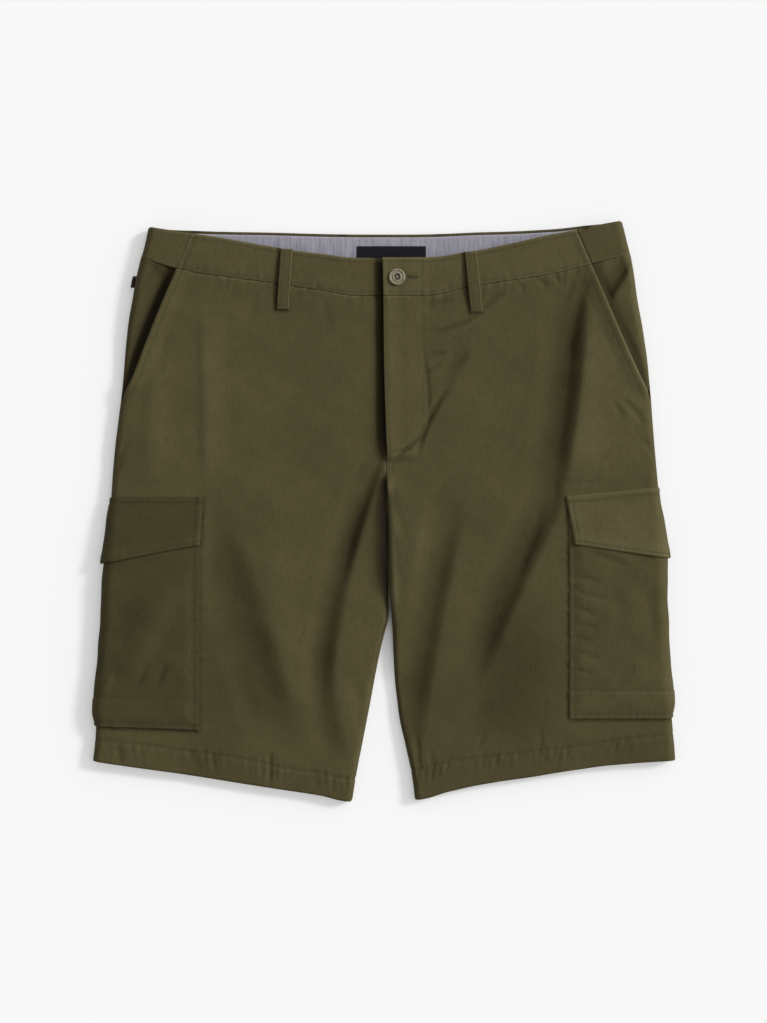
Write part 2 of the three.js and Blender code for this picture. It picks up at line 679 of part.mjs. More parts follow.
function cargoFlap(side) {
  const { flapX, flapFootX, flapTop, flapTopSide, flapFoot, flapPoint } = CARGO[side.name];
  const { pocketX } = CARGO[side.name];
  const fold = CARGO_MOUTH + CARGO_COVER;
  const down = (top, foot) => stretches([top, fold, foot], [CELLS.flapTop, CELLS.flapRows]);
  const rows = down(flapTop, flapFoot).map((innerY, i) => {
    const borderX = mix(flapX, flapFootX, (flapTop - innerY) / (flapTop - flapFoot));
    const columns = ringColumns(side, innerY, borderX);
    return columns.map((along) => {
      const inwards = Math.abs(along) / columns[0];
      const top = mix(flapTopSide, flapTop, inwards);
      const y = down(top, mix(flapPoint, flapFoot, inwards))[i];
      const border = ringColumns(side, y, pocketX)[0] + FLAP_REACH;
      const pocket = pocketStand(side, along, y, border);
      const beneath = ease(0, -ROLL_LENGTH, along);
      return node(ringSkin(side, along, y), pocket + mix(CLOTH + SEAM, FLAP_PAD, beneath), CLOTH);
    });
  });
  return wall(`cargo_flap_${side.name}`, MATERIALS.twill, rows);
}

// A belt loop lies on the waistband between its sewn ends and stands off it in the middle
function beltLoop(name, face, topX, footX, topY, bulge) {
  const side = topX < 0 ? RIGHT : LEFT;
  const rows = steps(0, 1, CELLS.loop).map((share) => {
    const y = topY - LOOP_LENGTH * share;
    const middle = mix(topX, footX, share);
    const stand = LOOP_CLOTH + SEAM + bulge * Math.sin(Math.PI * share);
    return steps(-0.5, 0.5, CELLS.loopAcross).map((across) => {
      const spot = skinAt(side, face, middle + LOOP_WIDTH * across, y);
      return node(spot, stand, LOOP_CLOTH);
    });
  });
  return wall(name, MATERIALS.twill, rows);
}

// Button turned round its axis: flat underside, raised rim, groove, inner ring and a recess
function button() {
  const { x, y, radius, thick } = BUTTON;
  const profile = BUTTON_SECTION.map(
    ({ across, up }) => new THREE.Vector2(across * radius, up * thick),
  );
  const geometry = new THREE.LatheGeometry(profile, CELLS.buttonRound);
  geometry.rotateX(QUARTER);
  const seat = skinAt(LEFT, "front", x, y).point.z + FLY_LIFT + SEAM;
  geometry.translate(x, y, seat);
  const mesh = new THREE.Mesh(geometry, MATERIALS.button);
  mesh.name = "button";
  return mesh;
}

function sideTab() {
  const geometry = new THREE.BoxGeometry(TAB.reach, TAB.tall, TAB.thick);
  const x = sideEdge.right(TAB.y - TAB.tall / 2) - SEAM - TAB.reach / 2;
  geometry.translate(x, TAB.y, SIDE_MIDDLE);
  const mesh = new THREE.Mesh(geometry, MATERIALS.tab);
  mesh.name = "side_tab";
  return mesh;
}

const shorts = new THREE.Group();
[RIGHT, LEFT].forEach((side) => {
  shorts.add(front(side), back(side), pocketFacing(side), frontBand(side));
  shorts.add(cargoPocket(side), cargoFlap(side));
});
shorts.add(backBand());
shorts.add(insideBack("waistband_lining", MATERIALS.lining, LINING,
  (x) => backTop(x) - LINING.edge, BAND_CLOTH + SEAM, LINING_CLOTH));
shorts.add(insideBack("label", MATERIALS.label, LABEL,
  () => LABEL.top, BAND_CLOTH + LINING_CLOTH + 2 * SEAM, LABEL_CLOTH));
FRONT_LOOPS.forEach(({ name, topX, footX, topY }) => {
  shorts.add(beltLoop(`belt_loop_front_${name}`, "front", topX, footX, topY, LOOP_BULGE));
});
BACK_LOOPS_X.forEach((x, k) => {
  const topY = backTop(x) - BACK_LOOP_INSET;
  shorts.add(beltLoop(`belt_loop_back_${k + 1}`, "back", x, x, topY, 0));
});
shorts.add(button(), sideTab());

export default shorts;
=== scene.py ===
import bpy
import numpy as np
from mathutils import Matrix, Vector


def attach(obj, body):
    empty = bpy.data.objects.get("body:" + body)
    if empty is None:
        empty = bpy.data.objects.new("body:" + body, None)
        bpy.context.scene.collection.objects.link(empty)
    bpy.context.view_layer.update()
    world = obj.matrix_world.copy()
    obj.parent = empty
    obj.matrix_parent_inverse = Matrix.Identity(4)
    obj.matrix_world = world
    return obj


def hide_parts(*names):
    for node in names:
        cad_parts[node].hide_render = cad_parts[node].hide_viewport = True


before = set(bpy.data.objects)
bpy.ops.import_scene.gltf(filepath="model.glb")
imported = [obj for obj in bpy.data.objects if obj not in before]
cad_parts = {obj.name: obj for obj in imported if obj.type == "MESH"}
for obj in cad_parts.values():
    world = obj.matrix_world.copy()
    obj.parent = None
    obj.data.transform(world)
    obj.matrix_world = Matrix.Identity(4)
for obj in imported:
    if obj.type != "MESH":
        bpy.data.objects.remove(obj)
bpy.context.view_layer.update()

# Sizes are in millimetres: +X runs to the wearer's left, +Y to the waist and +Z up from the floor.
MM = 0.001
TURN = 2 * np.pi
QUARTER = np.pi / 2
SIGN = {"right": -1, "left": 1}

# Cloth thicknesses, the gap at seams, and the roundness of side folds and inside legs
CLOTH = 1.2
BAND_CLOTH = 2.0
LINING_CLOTH = 0.8
LABEL_CLOTH = 0.6
LOOP_CLOTH = 1.4
HEM_CLOTH = 2.0
SEAM = 0.3
SIDE_ROLL = 8
INSEAM_ROLL = 6
SIDE_MIDDLE = 6.5
INSEAM_MIDDLE = 5
ROLL_LENGTH = SIDE_ROLL * QUARTER

# Where the seat ends and the legs start, the front's swells, and how its folds and edges run out
SEAT_END = 44
LEGS_START = 4
SIDE_SWELL = 0.34
CENTRE_SWELL = 0.72
FOLD_END = 0.34
CREASE_DEPTH = 1.5
EDGE_CALM = 0.35
HEM_LIFT = 0.5
HEM_LEVEL = -225
HAIR = 0.05

# Cargo pockets and flaps, and the pads by which they lift the back off the floor
CARGO_MOUTH = -6
CARGO_COVER = 4
CARGO_FOOT_MARGIN = 16
CARGO_BULGE = 2.4
CARGO_EDGE = 5
CARGO_CALM = 14
CARGO_PAD = 2.0
FLAP_PAD = 1.8
FLAP_REACH = 3
FLAP_FOLD = 0.3
PAD_MARGIN = 6
PAD_RAMP = 12
PAD_REACH = 26

# Slanted pockets: their lower end, how far they gape, and the facing under them
SLANT_END = 104
MOUTH_LIFT = {"right": 4.4, "left": 3.0}
MOUTH_REST = (244, 214)
SLANT_TUCK = 3.6
FACING_FOOT = 97
FACING_UNDERLAP = 18
FACING_TUCK = {"right": 4.2, "left": 0.8}

# Fly: its lap, its stitched line, the heights where the open edges below it start and are full,
# and the trough in the right half under its edge
FLY_LIFT = 3.0
FLY_EDGE = 20
FLY_STITCH = 46
FLY_FOOT = 46
FLY_RISE = 1.4
FLY_LINE = {"upper": 0.5, "lower": 1.4, "reach": 1.1, "edge": 1.6}
BELOW_FLY = {"right": (52, 40), "left": (52, 46)}
UNDER_FLY = {"x": 3, "depth": 4.2, "wide": 26, "reach": 15, "band_reach": 14}

# Belt loops and the seam of the back waistband
LOOP_WIDTH = 11.6
LOOP_LENGTH = 57
LOOP_BULGE = 2.4
LOOPS_FOOT = 188
BAND_RAMP = 50
BACK_SEAM_MIDDLE = 227

# Small pieces, and the buttonhole with how far its bars reach round its edge
BUTTONHOLE = {"x": 26.5, "y": 221.9, "half": 4.6, "depth": 0.9, "reach": (0.5, 1.9)}
BUTTON = {"x": 12.3, "y": 221.8, "radius": 7.8, "thick": 2.8}
LINING = {"from": -212, "to": 214, "foot": 229, "edge": 2.6}
LABEL = {"from": -25.6, "to": 39.9, "foot": 216, "top": 252.2}
TAB = {"y": 218, "tall": 11, "reach": 3.4, "thick": 1.0}
# Radius and height on the button's section, as shares of its radius and thickness
BUTTON_PROFILE = (
    (0.0, 0.0), (0.5, 0.0), (0.72, 0.0), (0.88, 0.1), (0.95, 0.26), (0.99, 0.45), (1.0, 0.62),
    (0.985, 0.8), (0.94, 0.94), (0.88, 1.0), (0.82, 0.98), (0.765, 0.88), (0.73, 0.74),
    (0.69, 0.68), (0.62, 0.69), (0.575, 0.76), (0.535, 0.88), (0.49, 0.93), (0.445, 0.9),
    (0.40, 0.78), (0.365, 0.6), (0.33, 0.42), (0.27, 0.36), (0.2, 0.36), (0.15, 0.44),
    (0.1, 0.52), (0.05, 0.56), (0.0, 0.57),
)

# Cells across and down of each cloth, a number for each stretch between two of its lines
CELLS = {
    "front": ((9, 34, 84, 10), (222, 14)),
    "back": ((8, 16, 4, 56, 8), (130, 8)),
    "facing": ((10, 34), (84,)),
    "band": ((9, 24, 92, 10), (24,)),
    "band_over": ((20, 8), (20,)),
    "band_under": ((6, 14, 4, 50, 6), (20,)),
    "pocket": ((6, 44, 8, 8, 18, 3), (3, 88, 8)),
    "flap": ((96,), (12, 30)),
}
# Grid lines down and across of the small pieces
LINES = {"lining": (23, 231), "label": (37, 67), "loop": (57, 19), "tab": (9, 25)}
# Shares down a pocket where its stretches meet, and x of a front's middle line at the waist
POCKET_STOPS = (0, 0.02, 0.95, 1)
FRONT_COLUMN = 140
SEARCH_TURNS = 8

# Stitches: share along one, girth and rise of its rings, and how far the rows lie inside edges
STITCH = {"pitch": 3.1, "length": 2.5, "radius": 0.27}
SPINDLE = ((0, 0, -0.25), (0.18, 0.8, 0.05), (0.5, 1, 0.16), (0.82, 0.8, 0.05), (1, 0, -0.25))
ROUND = 5
SLANT_ROW = 6.5
CENTRE_ROWS = (2.4, 5.6)
BAND_ROWS = {"top": 4, "seam": 2.6, "slant": 5, "fly_x": 35.5}
BAND_SPAN = {"right": (-190, 15), "left": (190, 0.5)}
POCKET_ROWS = {"rim": 1.8, "edge": 5.5, "foot": 4.6, "band": 28}
FLAP_ROWS = {"top": 6, "edge": 6, "foot": 4}
FLAP_SEWN = (0.11278, 0.925)
LOOP_ROWS = {"edge": 2.6, "end": 3.2, "bar": 4.3, "sunk": 0.4}

# What sewing does to each kind of piece: rounded edges (edge, radius), pressed lines (edge, how far
# inside it, depth, reach) and gathers (edge, how far inside, the way they run, reach, size, seed)
SEWING = {
    "front": (
        ("gathers", "waist", 2, "x", 10, 0.42, 0),
        ("pressed", "waist", 0, 0.7, 1.6),
        ("gathers", "hem", -4, "x", 8, 0.8, 1),
        ("pressed", "hem", 0, 0.7, 1.3),
        ("round", "foot", 1.3),
        ("gathers", "slant", 3, "y", 7, 0.16, 2),
        ("pressed", "slant", SLANT_ROW, 0.25, 1.0),
        ("round", "slant", 1.3),
        ("gathers", "pocket", 0, "y", 9, 0.4, 3),
        ("gathers", "centre", 0, "y", 9, 0.3, 5),
    ),
    "front_right": (("round", "centre", 1.4),),
    "front_left": (("gathers", "fly", 0, "y", 6, 0.22, 4), ("pressed", "centre", 4.5, 0.3, 1.0)),
    "back": (("pressed", "hem", 0, 0.5, 1.2), ("round", "foot", 1.2)),
    "facing": (("gathers", "waist", 0, "x", 9, 0.3, 81),),
    "band": (
        ("round", "top", 1.4),
        ("round", "seam", 0.6),
        ("pressed", "top", BAND_ROWS["top"], 0.3, 1.0),
        ("pressed", "seam", BAND_ROWS["seam"], 0.3, 0.9),
        ("gathers", "seam", 4, "x", 6, 0.26, 0),
        ("gathers", "top", 4, "x", 5, 0.16, 1),
    ),
    "band_right": (("round", "slant", 0.6), ("pressed", "slant", BAND_ROWS["slant"], 0.3, 1.0)),
    "band_left": (
        ("round", "slant", 0.6),
        ("pressed", "slant", BAND_ROWS["slant"], 0.3, 1.0),
        ("round", "centre", 1.4),
        ("pressed", "fly_row", BAND_ROWS["fly_x"], 0.4, 1.0),
    ),
    "inside": (("gathers", "top", 0, "x", 12, 0.2, 101),),
    "pocket": (
        ("gathers", "edge", 3, "y", 12, 0.4, 0),
        ("pressed", "edge", POCKET_ROWS["edge"], 0.35, 1.0),
        ("gathers", "foot", 3, "x", 6, 0.25, 1),
        ("pressed", "foot", POCKET_ROWS["foot"], 0.35, 1.0),
        ("pressed", "foot", POCKET_ROWS["band"], 0.5, 1.3),
    ),
    "flap": (
        ("pressed", "top", FLAP_ROWS["top"], 0.5, 1.1),
        ("gathers", "foot", 3, "x", 6, 0.2, 0),
        ("pressed", "edge", FLAP_ROWS["edge"], 0.3, 1.0),
        ("pressed", "foot", FLAP_ROWS["foot"], 0.3, 1.0),
    ),
    "loop": (
        ("round", "edge", 1.1),
        ("pressed", "edge", LOOP_ROWS["edge"], 0.25, 0.7),
        ("pressed", "end", LOOP_ROWS["end"], 0.35, 1.1),
        ("round", "end", 0.8),
    ),
    "front_loop": (("gathers", "edge", 0, "y", 4, 0.1, 201),),
}
SEEDS = {
    "front": {"right": 10, "left": 40},
    "back": {"hem": 71, "waist": 72},
    "pocket": {"right": 120, "left": 140},
    "flap": {"right": 160, "left": 180},
    "band": 91,
    "back_band": 95,
}

# Waves: lengths of gathers at seams and hems, of their long unevenness, and of slow swells with
# their turns and phases
WAVES = {"seam": (6.3, 9.7, 15.4), "hem": (4.1, 6.7, 11.3)}
LONG_WAVE = 61
SWELL_WAVES = ((97, 0.3, 0.4), (63, 1.25, 2.1), (41, 2.4, 4.0), (27, 0.9, 1.3))

# Crotch lines: how far inside the edge, depth, reach, and the heights where each starts, is full,
# begins to end and ends; then the shade there, with its thin and wide reach and its lower end
CROTCH_LINES = {
    "right": ((0, 4.6, 10, -112, -60, 6, 38), (0, 1.6, 5, -400, -399, 30, 42)),
    "left": ((2, -1.4, 6, -112, -70, 30, 42),),
}
CROTCH_SHADE = {"right": (0, 32, 2.5, 13, -130, -90), "left": (5, -4, 5, 5, -110, -80)}

# Shade in the gap beside a piece: how far outside its edge, its depth and its reach
HOLLOWS = {
    "loop": (1, 9, 2.1),
    "loop_foot": (1.4, 7, 1.5),
    "flap": (1.2, 6, 1.4),
    "pocket": (1.1, 4, 1.2),
    "pocket_foot": (1.1, 8, 1.4),
    "hem": (-1.3, 2.6, 0.9),
}
ROW_SHADE = {"depth": 2.2, "reach": 0.9}
BAND_SHADE = 0.7
HEM_SHADE = 1.1
FLY_SHADE = 11
SLIT_SHADE = 8
# Painted shade at the top of the back waistband where each back loop is sewn in: its reach, the share
# up the band where it starts, and how dark
BACK_LOOP_SHADE = {"reach": 3.6, "start": 0.9, "shade": 9}
# Painted shade on each pocket facing at the pocket mouth: how dark
FACING_MOUTH_SHADE = {"right": 13, "left": 9}

# Painted light and shade on whole pieces: how much paler or darker some pieces are painted, for how
# the light falls on them
PIECE_LIGHT = {
    "pocket_facing": {"right": -0.22, "left": 0.25},
    "waistband": {"right": 0.08, "left": 0.16},
    "cargo_pocket": {"right": -0.42, "left": 0.0},
    "cargo_flap": {"right": -0.5, "left": 0.22},
}

# Flat size in metres of what shows of each cloth, and what it rests on
SHEETS = {
    "waistband_back": ((0.590, 0.085), ["belt_loop_back_2"]),
    "waistband_lining": ((0.430, 0.045), ["waistband_back"]),
    "label": ((0.066, 0.037), ["waistband_lining"]),
}
for half in SIGN:
    SHEETS |= {
        f"front_{half}": ((0.295, 0.500), [f"back_{half}"]),
        f"back_{half}": ((0.295, 0.515), []),
        f"pocket_facing_{half}": ((0.085, 0.150), [f"back_{half}"]),
        f"waistband_front_{half}": ((0.245, 0.075), ["waistband_back"]),
        f"cargo_pocket_{half}": ((0.215, 0.215), [f"front_{half}", f"back_{half}"]),
        f"cargo_flap_{half}": ((0.215, 0.095), [f"cargo_pocket_{half}"]),
        f"belt_loop_front_{half}": ((0.0125, 0.060), [f"waistband_front_{half}"]),
    }
# Short name of each finish, which names the kind of a small piece made in it
SLOTS = {"olive_twill": "twill", "chambray_lining": "lining", "plain_label": "label",
         "brown_tab": "tab"}

FRONT_LOOPS = {
    "right": {"top_x": -92, "foot_x": -96, "top": 248.6},
    "left": {"top_x": 82, "foot_x": 87.8, "top": 246},
}
BACK_LOOPS = (-179, -39, 52, 192)
SIDE_EDGES = {
    "y": (276, 254, 239, 201, 163, 125, 87, 49, 11, -27, -65, -103, -141, -179, -217, -240),
    "right": (-222.6, -227.0, -231.3, -239.0, -244.6, -247.8, -252.2, -256.6, -259.3, -261.8,
              -264.0, -265.8, -269.4, -272.2, -274.4, -276.9),
    "left": (226.0, 231.3, 235.1, 240.8, 247.4, 252.0, 255.1, 258.2, 261.6, 265.0,
             266.0, 266.6, 268.8, 272.0, 275.0, 276.9),
}
INNER_EDGES = {
    "y": (276, 204, 163, 87, 66, 58, 28, 11, -40, -95, -115, -136, -183, -222, -252, -276),
    "right": (17.0, 17.0, 17.0, 15.0, 9.0, 2.5, 2.4, 3.8, 5.5, 4.8, 0.6, -4.3, -13.3, -20.9,
              -26.6, -30.4),
    "left": (-3.6, -0.9, -0.5, 1.4, 2.2, 2.6, 2.6, 4.0, 5.6, 7.2, 8.1, 9.0, 12.9, 20.4, 26.6,
             29.8),
}
SLANTS = {
    "y": (264, 233, 190, 150, 122, 104),
    "right": (-183.0, -195.5, -213.7, -229.4, -240.4, -249.9),
    "left": (183.4, 196.9, 215.5, 233.0, 245.8, 253.6),
}
FRONT_WAIST = {
    "x": (-236, -225, -196, -153, -114, -56, -20, 35, 76, 115, 151, 183, 201, 226, 238),
    "top": (271.5, 270.0, 265.4, 259.1, 252.2, 243.7, 240.4, 240.8, 245.5, 252.7, 260.8, 267.0,
            271.0, 275.6, 277.6),
    "seam": (243.6, 239.6, 230.2, 222.9, 217.7, 209.2, 204.6, 204.7, 212.2, 218.5, 223.7, 231.0,
             235.7, 242.0, 245.4),
}
BACK_WAIST = {
    "x": (-236, -225, -182, -114, 7, 93, 151, 190, 226, 238),
    "top": (271.5, 270.0, 266.9, 265.3, 263.3, 265.5, 267.8, 271.6, 275.6, 277.6),
}
HEMS = {
    "x": (-278, -250, -189, -132, -99, -60, -26, 25, 62, 100, 139, 187, 221, 278),
    "stitch": (-216.2, -219.0, -227.5, -235.1, -242.7, -248.3, -254.0, -246.5, -237.6, -232.6,
               -228.0, -222.5, -217.3, -210.2),
    "edge": (-236.5, -240.8, -249.4, -258.4, -263.5, -269.5, -275.4, -274.0, -265.6, -257.7,
             -252.0, -244.3, -240.2, -236.0),
}
HEIGHTS = {
    "y": (276, 240, 200, 100, 0, -100, -200, -276),
    "side": (16.5, 16.5, 15.5, 14.0, 14.5, 15.5, 14.5, 13.5),
    "middle": (15.5, 15.0, 13.2, 12.0, 12.0, 12.6, 12.4, 12.6),
    "centre": (15.0, 15.0, 13.0, 11.6, 10.6, 11.2, 11.8, 12.0),
}
CARGO = {
    "right": {"flap_x": -171.4, "flap_foot_x": -174.5, "pocket_x": -175.6, "flap_top": 13.8,
              "flap_top_side": 13.8, "flap_foot": -31.8, "flap_point": -49.9, "foot": -207.6,
              "foot_side": -203.8},
    "left": {"flap_x": 172.2, "flap_foot_x": 180.5, "pocket_x": 175.2, "flap_top": 14.7,
             "flap_top_side": 23.3, "flap_foot": -31.3, "flap_point": -44.6, "foot": -196.6,
             "foot_side": -196.2},
}

# Folds and creases, told from their upper end: start and end of the line, its bow, how far each
# reaches on the side of -X and on the side of +X, and its height
FOLD_COLUMNS = ("from_x", "from_y", "to_x", "to_y", "bow", "before", "after", "height")
BROAD_FOLDS = {
    "right": (
        (-170, 20, -88, -240, 0, 38, 24, -4.5),
        (-104, 0, -78, -200, -4, 28, 40, 1.7),
        (-2, 62, -64, -206, -13, 20, 15, -5.2),
        (-60, -110, -42, -252, -6, 20, 17, -2.8),
        (-171, 214, -166, 6, 0, 10, 24, 1.6),
        (-214, 170, -222, 20, 0, 14, 26, 1.2),
    ),
    "left": (
        (183, 226, 154, -12, 4, 34, 15, -6.0),
        (203, 230, 168, -6, 5, 18, 60, 2.6),
        (178, 44, 74, -184, -4, 34, 14, -5.6),
        (72, 30, 20, -246, -4, 30, 16, -5.0),
        (112, -70, 92, -236, 0, 24, 60, -2.2),
        (44, 50, 22, -170, 0, 18, 30, 1.4),
    ),
}
CREASES = {
    "right": (
        (-200, 176, -214, 129, -2, 7, 7, -0.4),
        (-146, -142, -122, -206, 3, 16, 14, -0.7),
        (6, 74, -44, -80, -4, 10, 8, -1.9),
        (-10, 66, -30, 22, 2, 10, 9, -0.7),
        (-120, 214, -132, 176, 2, 7, 7, -0.4),
        (-60, 204, -52, 168, 2, 7, 7, -0.4),
        (-30, -150, -20, -224, 3, 10, 9, -0.6),
        (-243, 68, -256, 44, 1, 4, 4, -0.8),
        (-246, 52, -257, 34, 1, 4, 3, -0.7),
        (-108, -224, -109, -262, 1, 4, 3, -1.3),
        (-251, -218, -249, -242, 0, 4, 3, -1.1),
        (-186, -222, -175, -248, 1, 5, 4, -0.7),
        (-164, -226, -158, -252, 0, 4, 4, -0.5),
        (-66, -240, -64, -266, 0, 4, 4, -0.6),
    ),
    "left": (
        (94, 190, 34, 167, 4, 4, 4, -1.5),
        (116, 208, 88, 188, -2, 5, 4, -1.3),
        (68, 200, 34, 192, -1, 4, 3, -1.1),
        (62, 150, 34, 145, -1, 3, 3, -1.1),
        (58, 142, 34, 127, -1, 3, 3, -1.1),
        (66, 124, 30, 44, -6, 5, 4, -1.9),
        (37, 156, 42, 76, 2, 3, 3, -1.1),
        (41, 74, 4, 42, -2, 3, 3, -1.6),
        (78, 163, 50, 114, 2, 13, 11, -1.0),
        (92, 178, 52, 158, 2, 5, 5, -0.7),
        (84, 150, 48, 132, 2, 5, 5, -0.6),
        (217, 104, 228, 86, 1, 4, 4, -0.8),
        (226, 108, 240, 88, 1, 4, 4, -0.9),
        (236, 100, 246, 80, 1, 4, 4, -0.7),
        (244, 70, 256, 52, 1, 5, 5, -0.8),
        (154, -178, 150, -191, 0, 4, 4, -0.6),
        (134, 206, 122, 221, -1, 4, 4, -0.6),
        (156, 208, 140, 224, -2, 5, 4, -0.7),
        (168, 214, 158, 226, -1, 4, 4, -0.6),
        (180, 222, 168, 196, 2, 5, 5, -0.8),
        (190, 224, 174, 132, 0, 11, 8, -1.3),
        (156, 14, 122, -72, 1, 8, 7, -1.1),
        (6, 42, 14, -70, -3, 8, 7, -0.8),
        (5, 40, 26, -30, -5, 9, 8, -0.6),
        (30, -206, 33, -256, 1, 5, 4, -0.9),
        (44, -222, 46, -262, 0, 4, 4, -0.7),
        (96, -206, 88, -228, 0, 5, 5, -0.6),
        (150, -200, 146, -240, 0, 5, 4, -0.5),
    ),
}

# Painted light and shade on the fronts: middle of each patch, its reach across and along, and how much
# paler it is painted
PAINTED_LIGHT_PATCHES = {
    "right": (
        (-152, -165, 40, 80, -0.24),
        (-84, -90, 24, 76, -0.04),
        (-20, -200, 20, 60, 0.12),
        (-232, 40, 22, 60, -0.12),
        (-160, 120, 26, 90, 0.08),
    ),
    "left": (
        (136, -156, 46, 60, -0.28),
        (84, -190, 44, 46, -0.18),
        (32, -196, 11, 44, -0.12),
        (24, -70, 14, 90, 0.08),
        (240, 130, 12, 90, 0.3),
        (178, 132, 12, 62, -0.16),
        (17, 130, 14, 90, 0.12),
        (130, 190, 40, 30, 0.06),
    ),
}
BACK_CREASES = {
    "right": (
        (-20, 60, -70, 10, 5, 9, 9, -1.1),
        (-16, 44, -40, -60, -8, 10, 10, -1.3),
        (-130, 150, -100, 40, 10, 14, 14, -1.0),
        (-150, -40, -120, -200, 8, 13, 13, -1.2),
        (-60, -90, -70, -215, -6, 11, 11, -1.0),
    ),
    "left": (
        (18, 64, 62, 18, -4, 8, 8, -1.0),
        (14, 40, 48, -70, 7, 11, 11, -1.2),
        (150, 140, 112, 30, -8, 13, 13, -1.1),
        (140, -50, 128, -190, -6, 12, 12, -1.1),
        (70, -70, 58, -205, 5, 12, 12, -1.0),
    ),
}
POCKET_CREASES = {
    "right": (
        (-226, -56, -272, -176, 3, 30, 18, -1.0),
        (-196, -64, -248, -172, 3, 16, 18, 1.0),
        (-222, -140, -237, -170, 1, 6, 5, -0.9),
        (-206, -140, -218, -172, 1, 6, 5, -0.9),
        (-256, -150, -268, -176, 1, 5, 5, 0.8),
        (-184, -44, -196, -60, 1, 7, 6, -0.6),
    ),
    "left": (
        (186, -38, 236, -54, 2, 5, 5, -0.8),
        (178, -62, 204, -66, 1, 3, 3, -0.8),
        (178, -76, 214, -84, 1, 4, 3, -0.8),
        (178, -92, 200, -97, 1, 3, 3, -0.9),
        (178, -106, 206, -112, 1, 4, 3, -0.7),
        (178, -120, 198, -122, 1, 3, 3, -0.8),
        (178, -133, 208, -141, 1, 4, 3, -0.7),
        (178, -150, 200, -154, 1, 3, 3, -0.6),
        (246, -66, 256, -130, 3, 12, 12, -0.9),
        (216, -70, 226, -120, 3, 14, 14, -0.5),
        (240, -140, 214, -168, 2, 9, 9, -0.5),
    ),
}
FACING_CREASES = {
    "right": (
        (-224, 236, -206, 214, 1, 7, 7, -1.2),
        (-214, 238, -232, 206, 1, 6, 6, -0.9),
        (-200, 234, -222, 176, 1, 8, 6, -1.0),
    ),
    "left": (
        (236, 242, 202, 190, 0, 18, 7, -4.6),
        (226, 176, 238, 140, 1, 6, 6, -0.6),
    ),
}

# The stitched line of the fly, from the waist seam round to the fly's edge
FLY_SEAM = {
    "x": (36.4, 37.0, 37.8, 38.0, 37.4, 34.2, 30.0, 20.0, 10.5, 3.0),
    "y": (204, 170, 130, 104, 88, 74, 66, 59.0, 56.2, 55.6),
}


def mix(start, end, share):
    """start + (end - start) * share."""
    return start + (end - start) * share


def ease(start, end, value):
    """Smooth step from 0 at start to 1 at end: share squared times (3 - 2 share)."""
    share = np.clip((value - start) / (end - start), 0, 1)
    return share * share * (3 - 2 * share)


def curve(table, given, wanted):
    """Smooth curve through a table without overshoot: slopes are the harmonic mean of both sides."""
    order = np.argsort(table[given])
    at = np.array(table[given], float)[order]
    value = np.array(table[wanted], float)[order]
    rise = np.diff(value) / np.diff(at)
    product = rise[:-1] * rise[1:]
    total = np.where(product > 0, rise[:-1] + rise[1:], 1)
    slope = np.concatenate([rise[:1], np.where(product > 0, 2 * product / total, 0), rise[-1:]])

    def read(place):
        """Value of the curve at each place; straight on beyond both ends."""
        place = np.asarray(place, float)
        k = np.clip(np.searchsorted(at, place, side="right") - 1, 0, at.size - 2)
        span = at[k + 1] - at[k]
        s = (place - at[k]) / span
        start = value[k] + s * span * slope[k]
        end = value[k + 1] - (1 - s) * span * slope[k + 1]
        inside = mix(start, end, s * s * (3 - 2 * s))
        below = value[0] + slope[0] * (place - at[0])
        above = value[-1] + slope[-1] * (place - at[-1])
        return np.where(place <= at[0], below, np.where(place >= at[-1], above, inside))

    return read


side_edge = {side: curve(SIDE_EDGES, "y", side) for side in SIGN}
inner_edge = {side: curve(INNER_EDGES, "y", side) for side in SIGN}
slant = {side: curve(SLANTS, "y", side) for side in SIGN}
band_top = curve(FRONT_WAIST, "x", "top")
waist_seam = curve(FRONT_WAIST, "x", "seam")
back_top = curve(BACK_WAIST, "x", "top")
hem_stitch = curve(HEMS, "x", "stitch")
hem_edge = curve(HEMS, "x", "edge")
height_curve = {place: curve(HEIGHTS, "y", place) for place in ("side", "middle", "centre")}


def back_seam(x):
    """Seam of the back waistband: it dips with the square of the way from side to middle."""
    turned = np.where(x < 0, -LINING["to"], LINING["to"])
    side_x = np.where(x < 0, side_edge["right"](waist_seam(turned)),
                      side_edge["left"](waist_seam(turned)))
    share = x / side_x
    return mix(BACK_SEAM_MIDDLE, waist_seam(side_x), share * share)


def window(value, start, full, hold, end):
    """1 between full and hold, falling smoothly to 0 at start and at end."""
    return ease(start, full, value) * ease(end, hold, value)


def creases(rows, x, y):
    """Sum of soft troughs and ridges: height * squared cosine across * smooth ends along."""
    total = np.zeros(np.broadcast(x, y).shape)
    for row in rows:
        crease = dict(zip(FOLD_COLUMNS, row))
        run_x = crease["to_x"] - crease["from_x"]
        run_y = crease["to_y"] - crease["from_y"]
        length = np.hypot(run_x, run_y)
        off_x, off_y = x - crease["from_x"], y - crease["from_y"]
        along = np.clip((off_x * run_x + off_y * run_y) / length**2, 0, 1)
        off = (off_y * run_x - off_x * run_y) / length - crease["bow"] * 4 * along * (1 - along)
        reach = np.where(off < 0, crease["before"], crease["after"])
        across = np.cos(QUARTER * np.clip(off / reach, -1, 1)) ** 2
        ends = ease(0, FOLD_END, along) * ease(1, 1 - FOLD_END, along)
        total += crease["height"] * ends * across
    return total


def front_height(side, x, y):
    """Height of a front: swells at the side and the centre, with the broad folds of the shorts."""
    outer = side_edge[side](y)
    share = np.abs(outer - x) / np.abs(outer)
    swell = mix(height_curve["side"](y), height_curve["middle"](y), ease(0, SIDE_SWELL, share))
    base = mix(swell, height_curve["centre"](y), ease(CENTRE_SWELL, 1, share))
    border = abs(CARGO[side]["pocket_x"])
    beside_pocket = ease(border, border - CARGO_CALM, np.abs(x))
    calm = np.where(y > CARGO[side]["flap_top"] + CARGO_CALM, 1, beside_pocket)
    return base + calm * creases(BROAD_FOLDS[side], x, y)


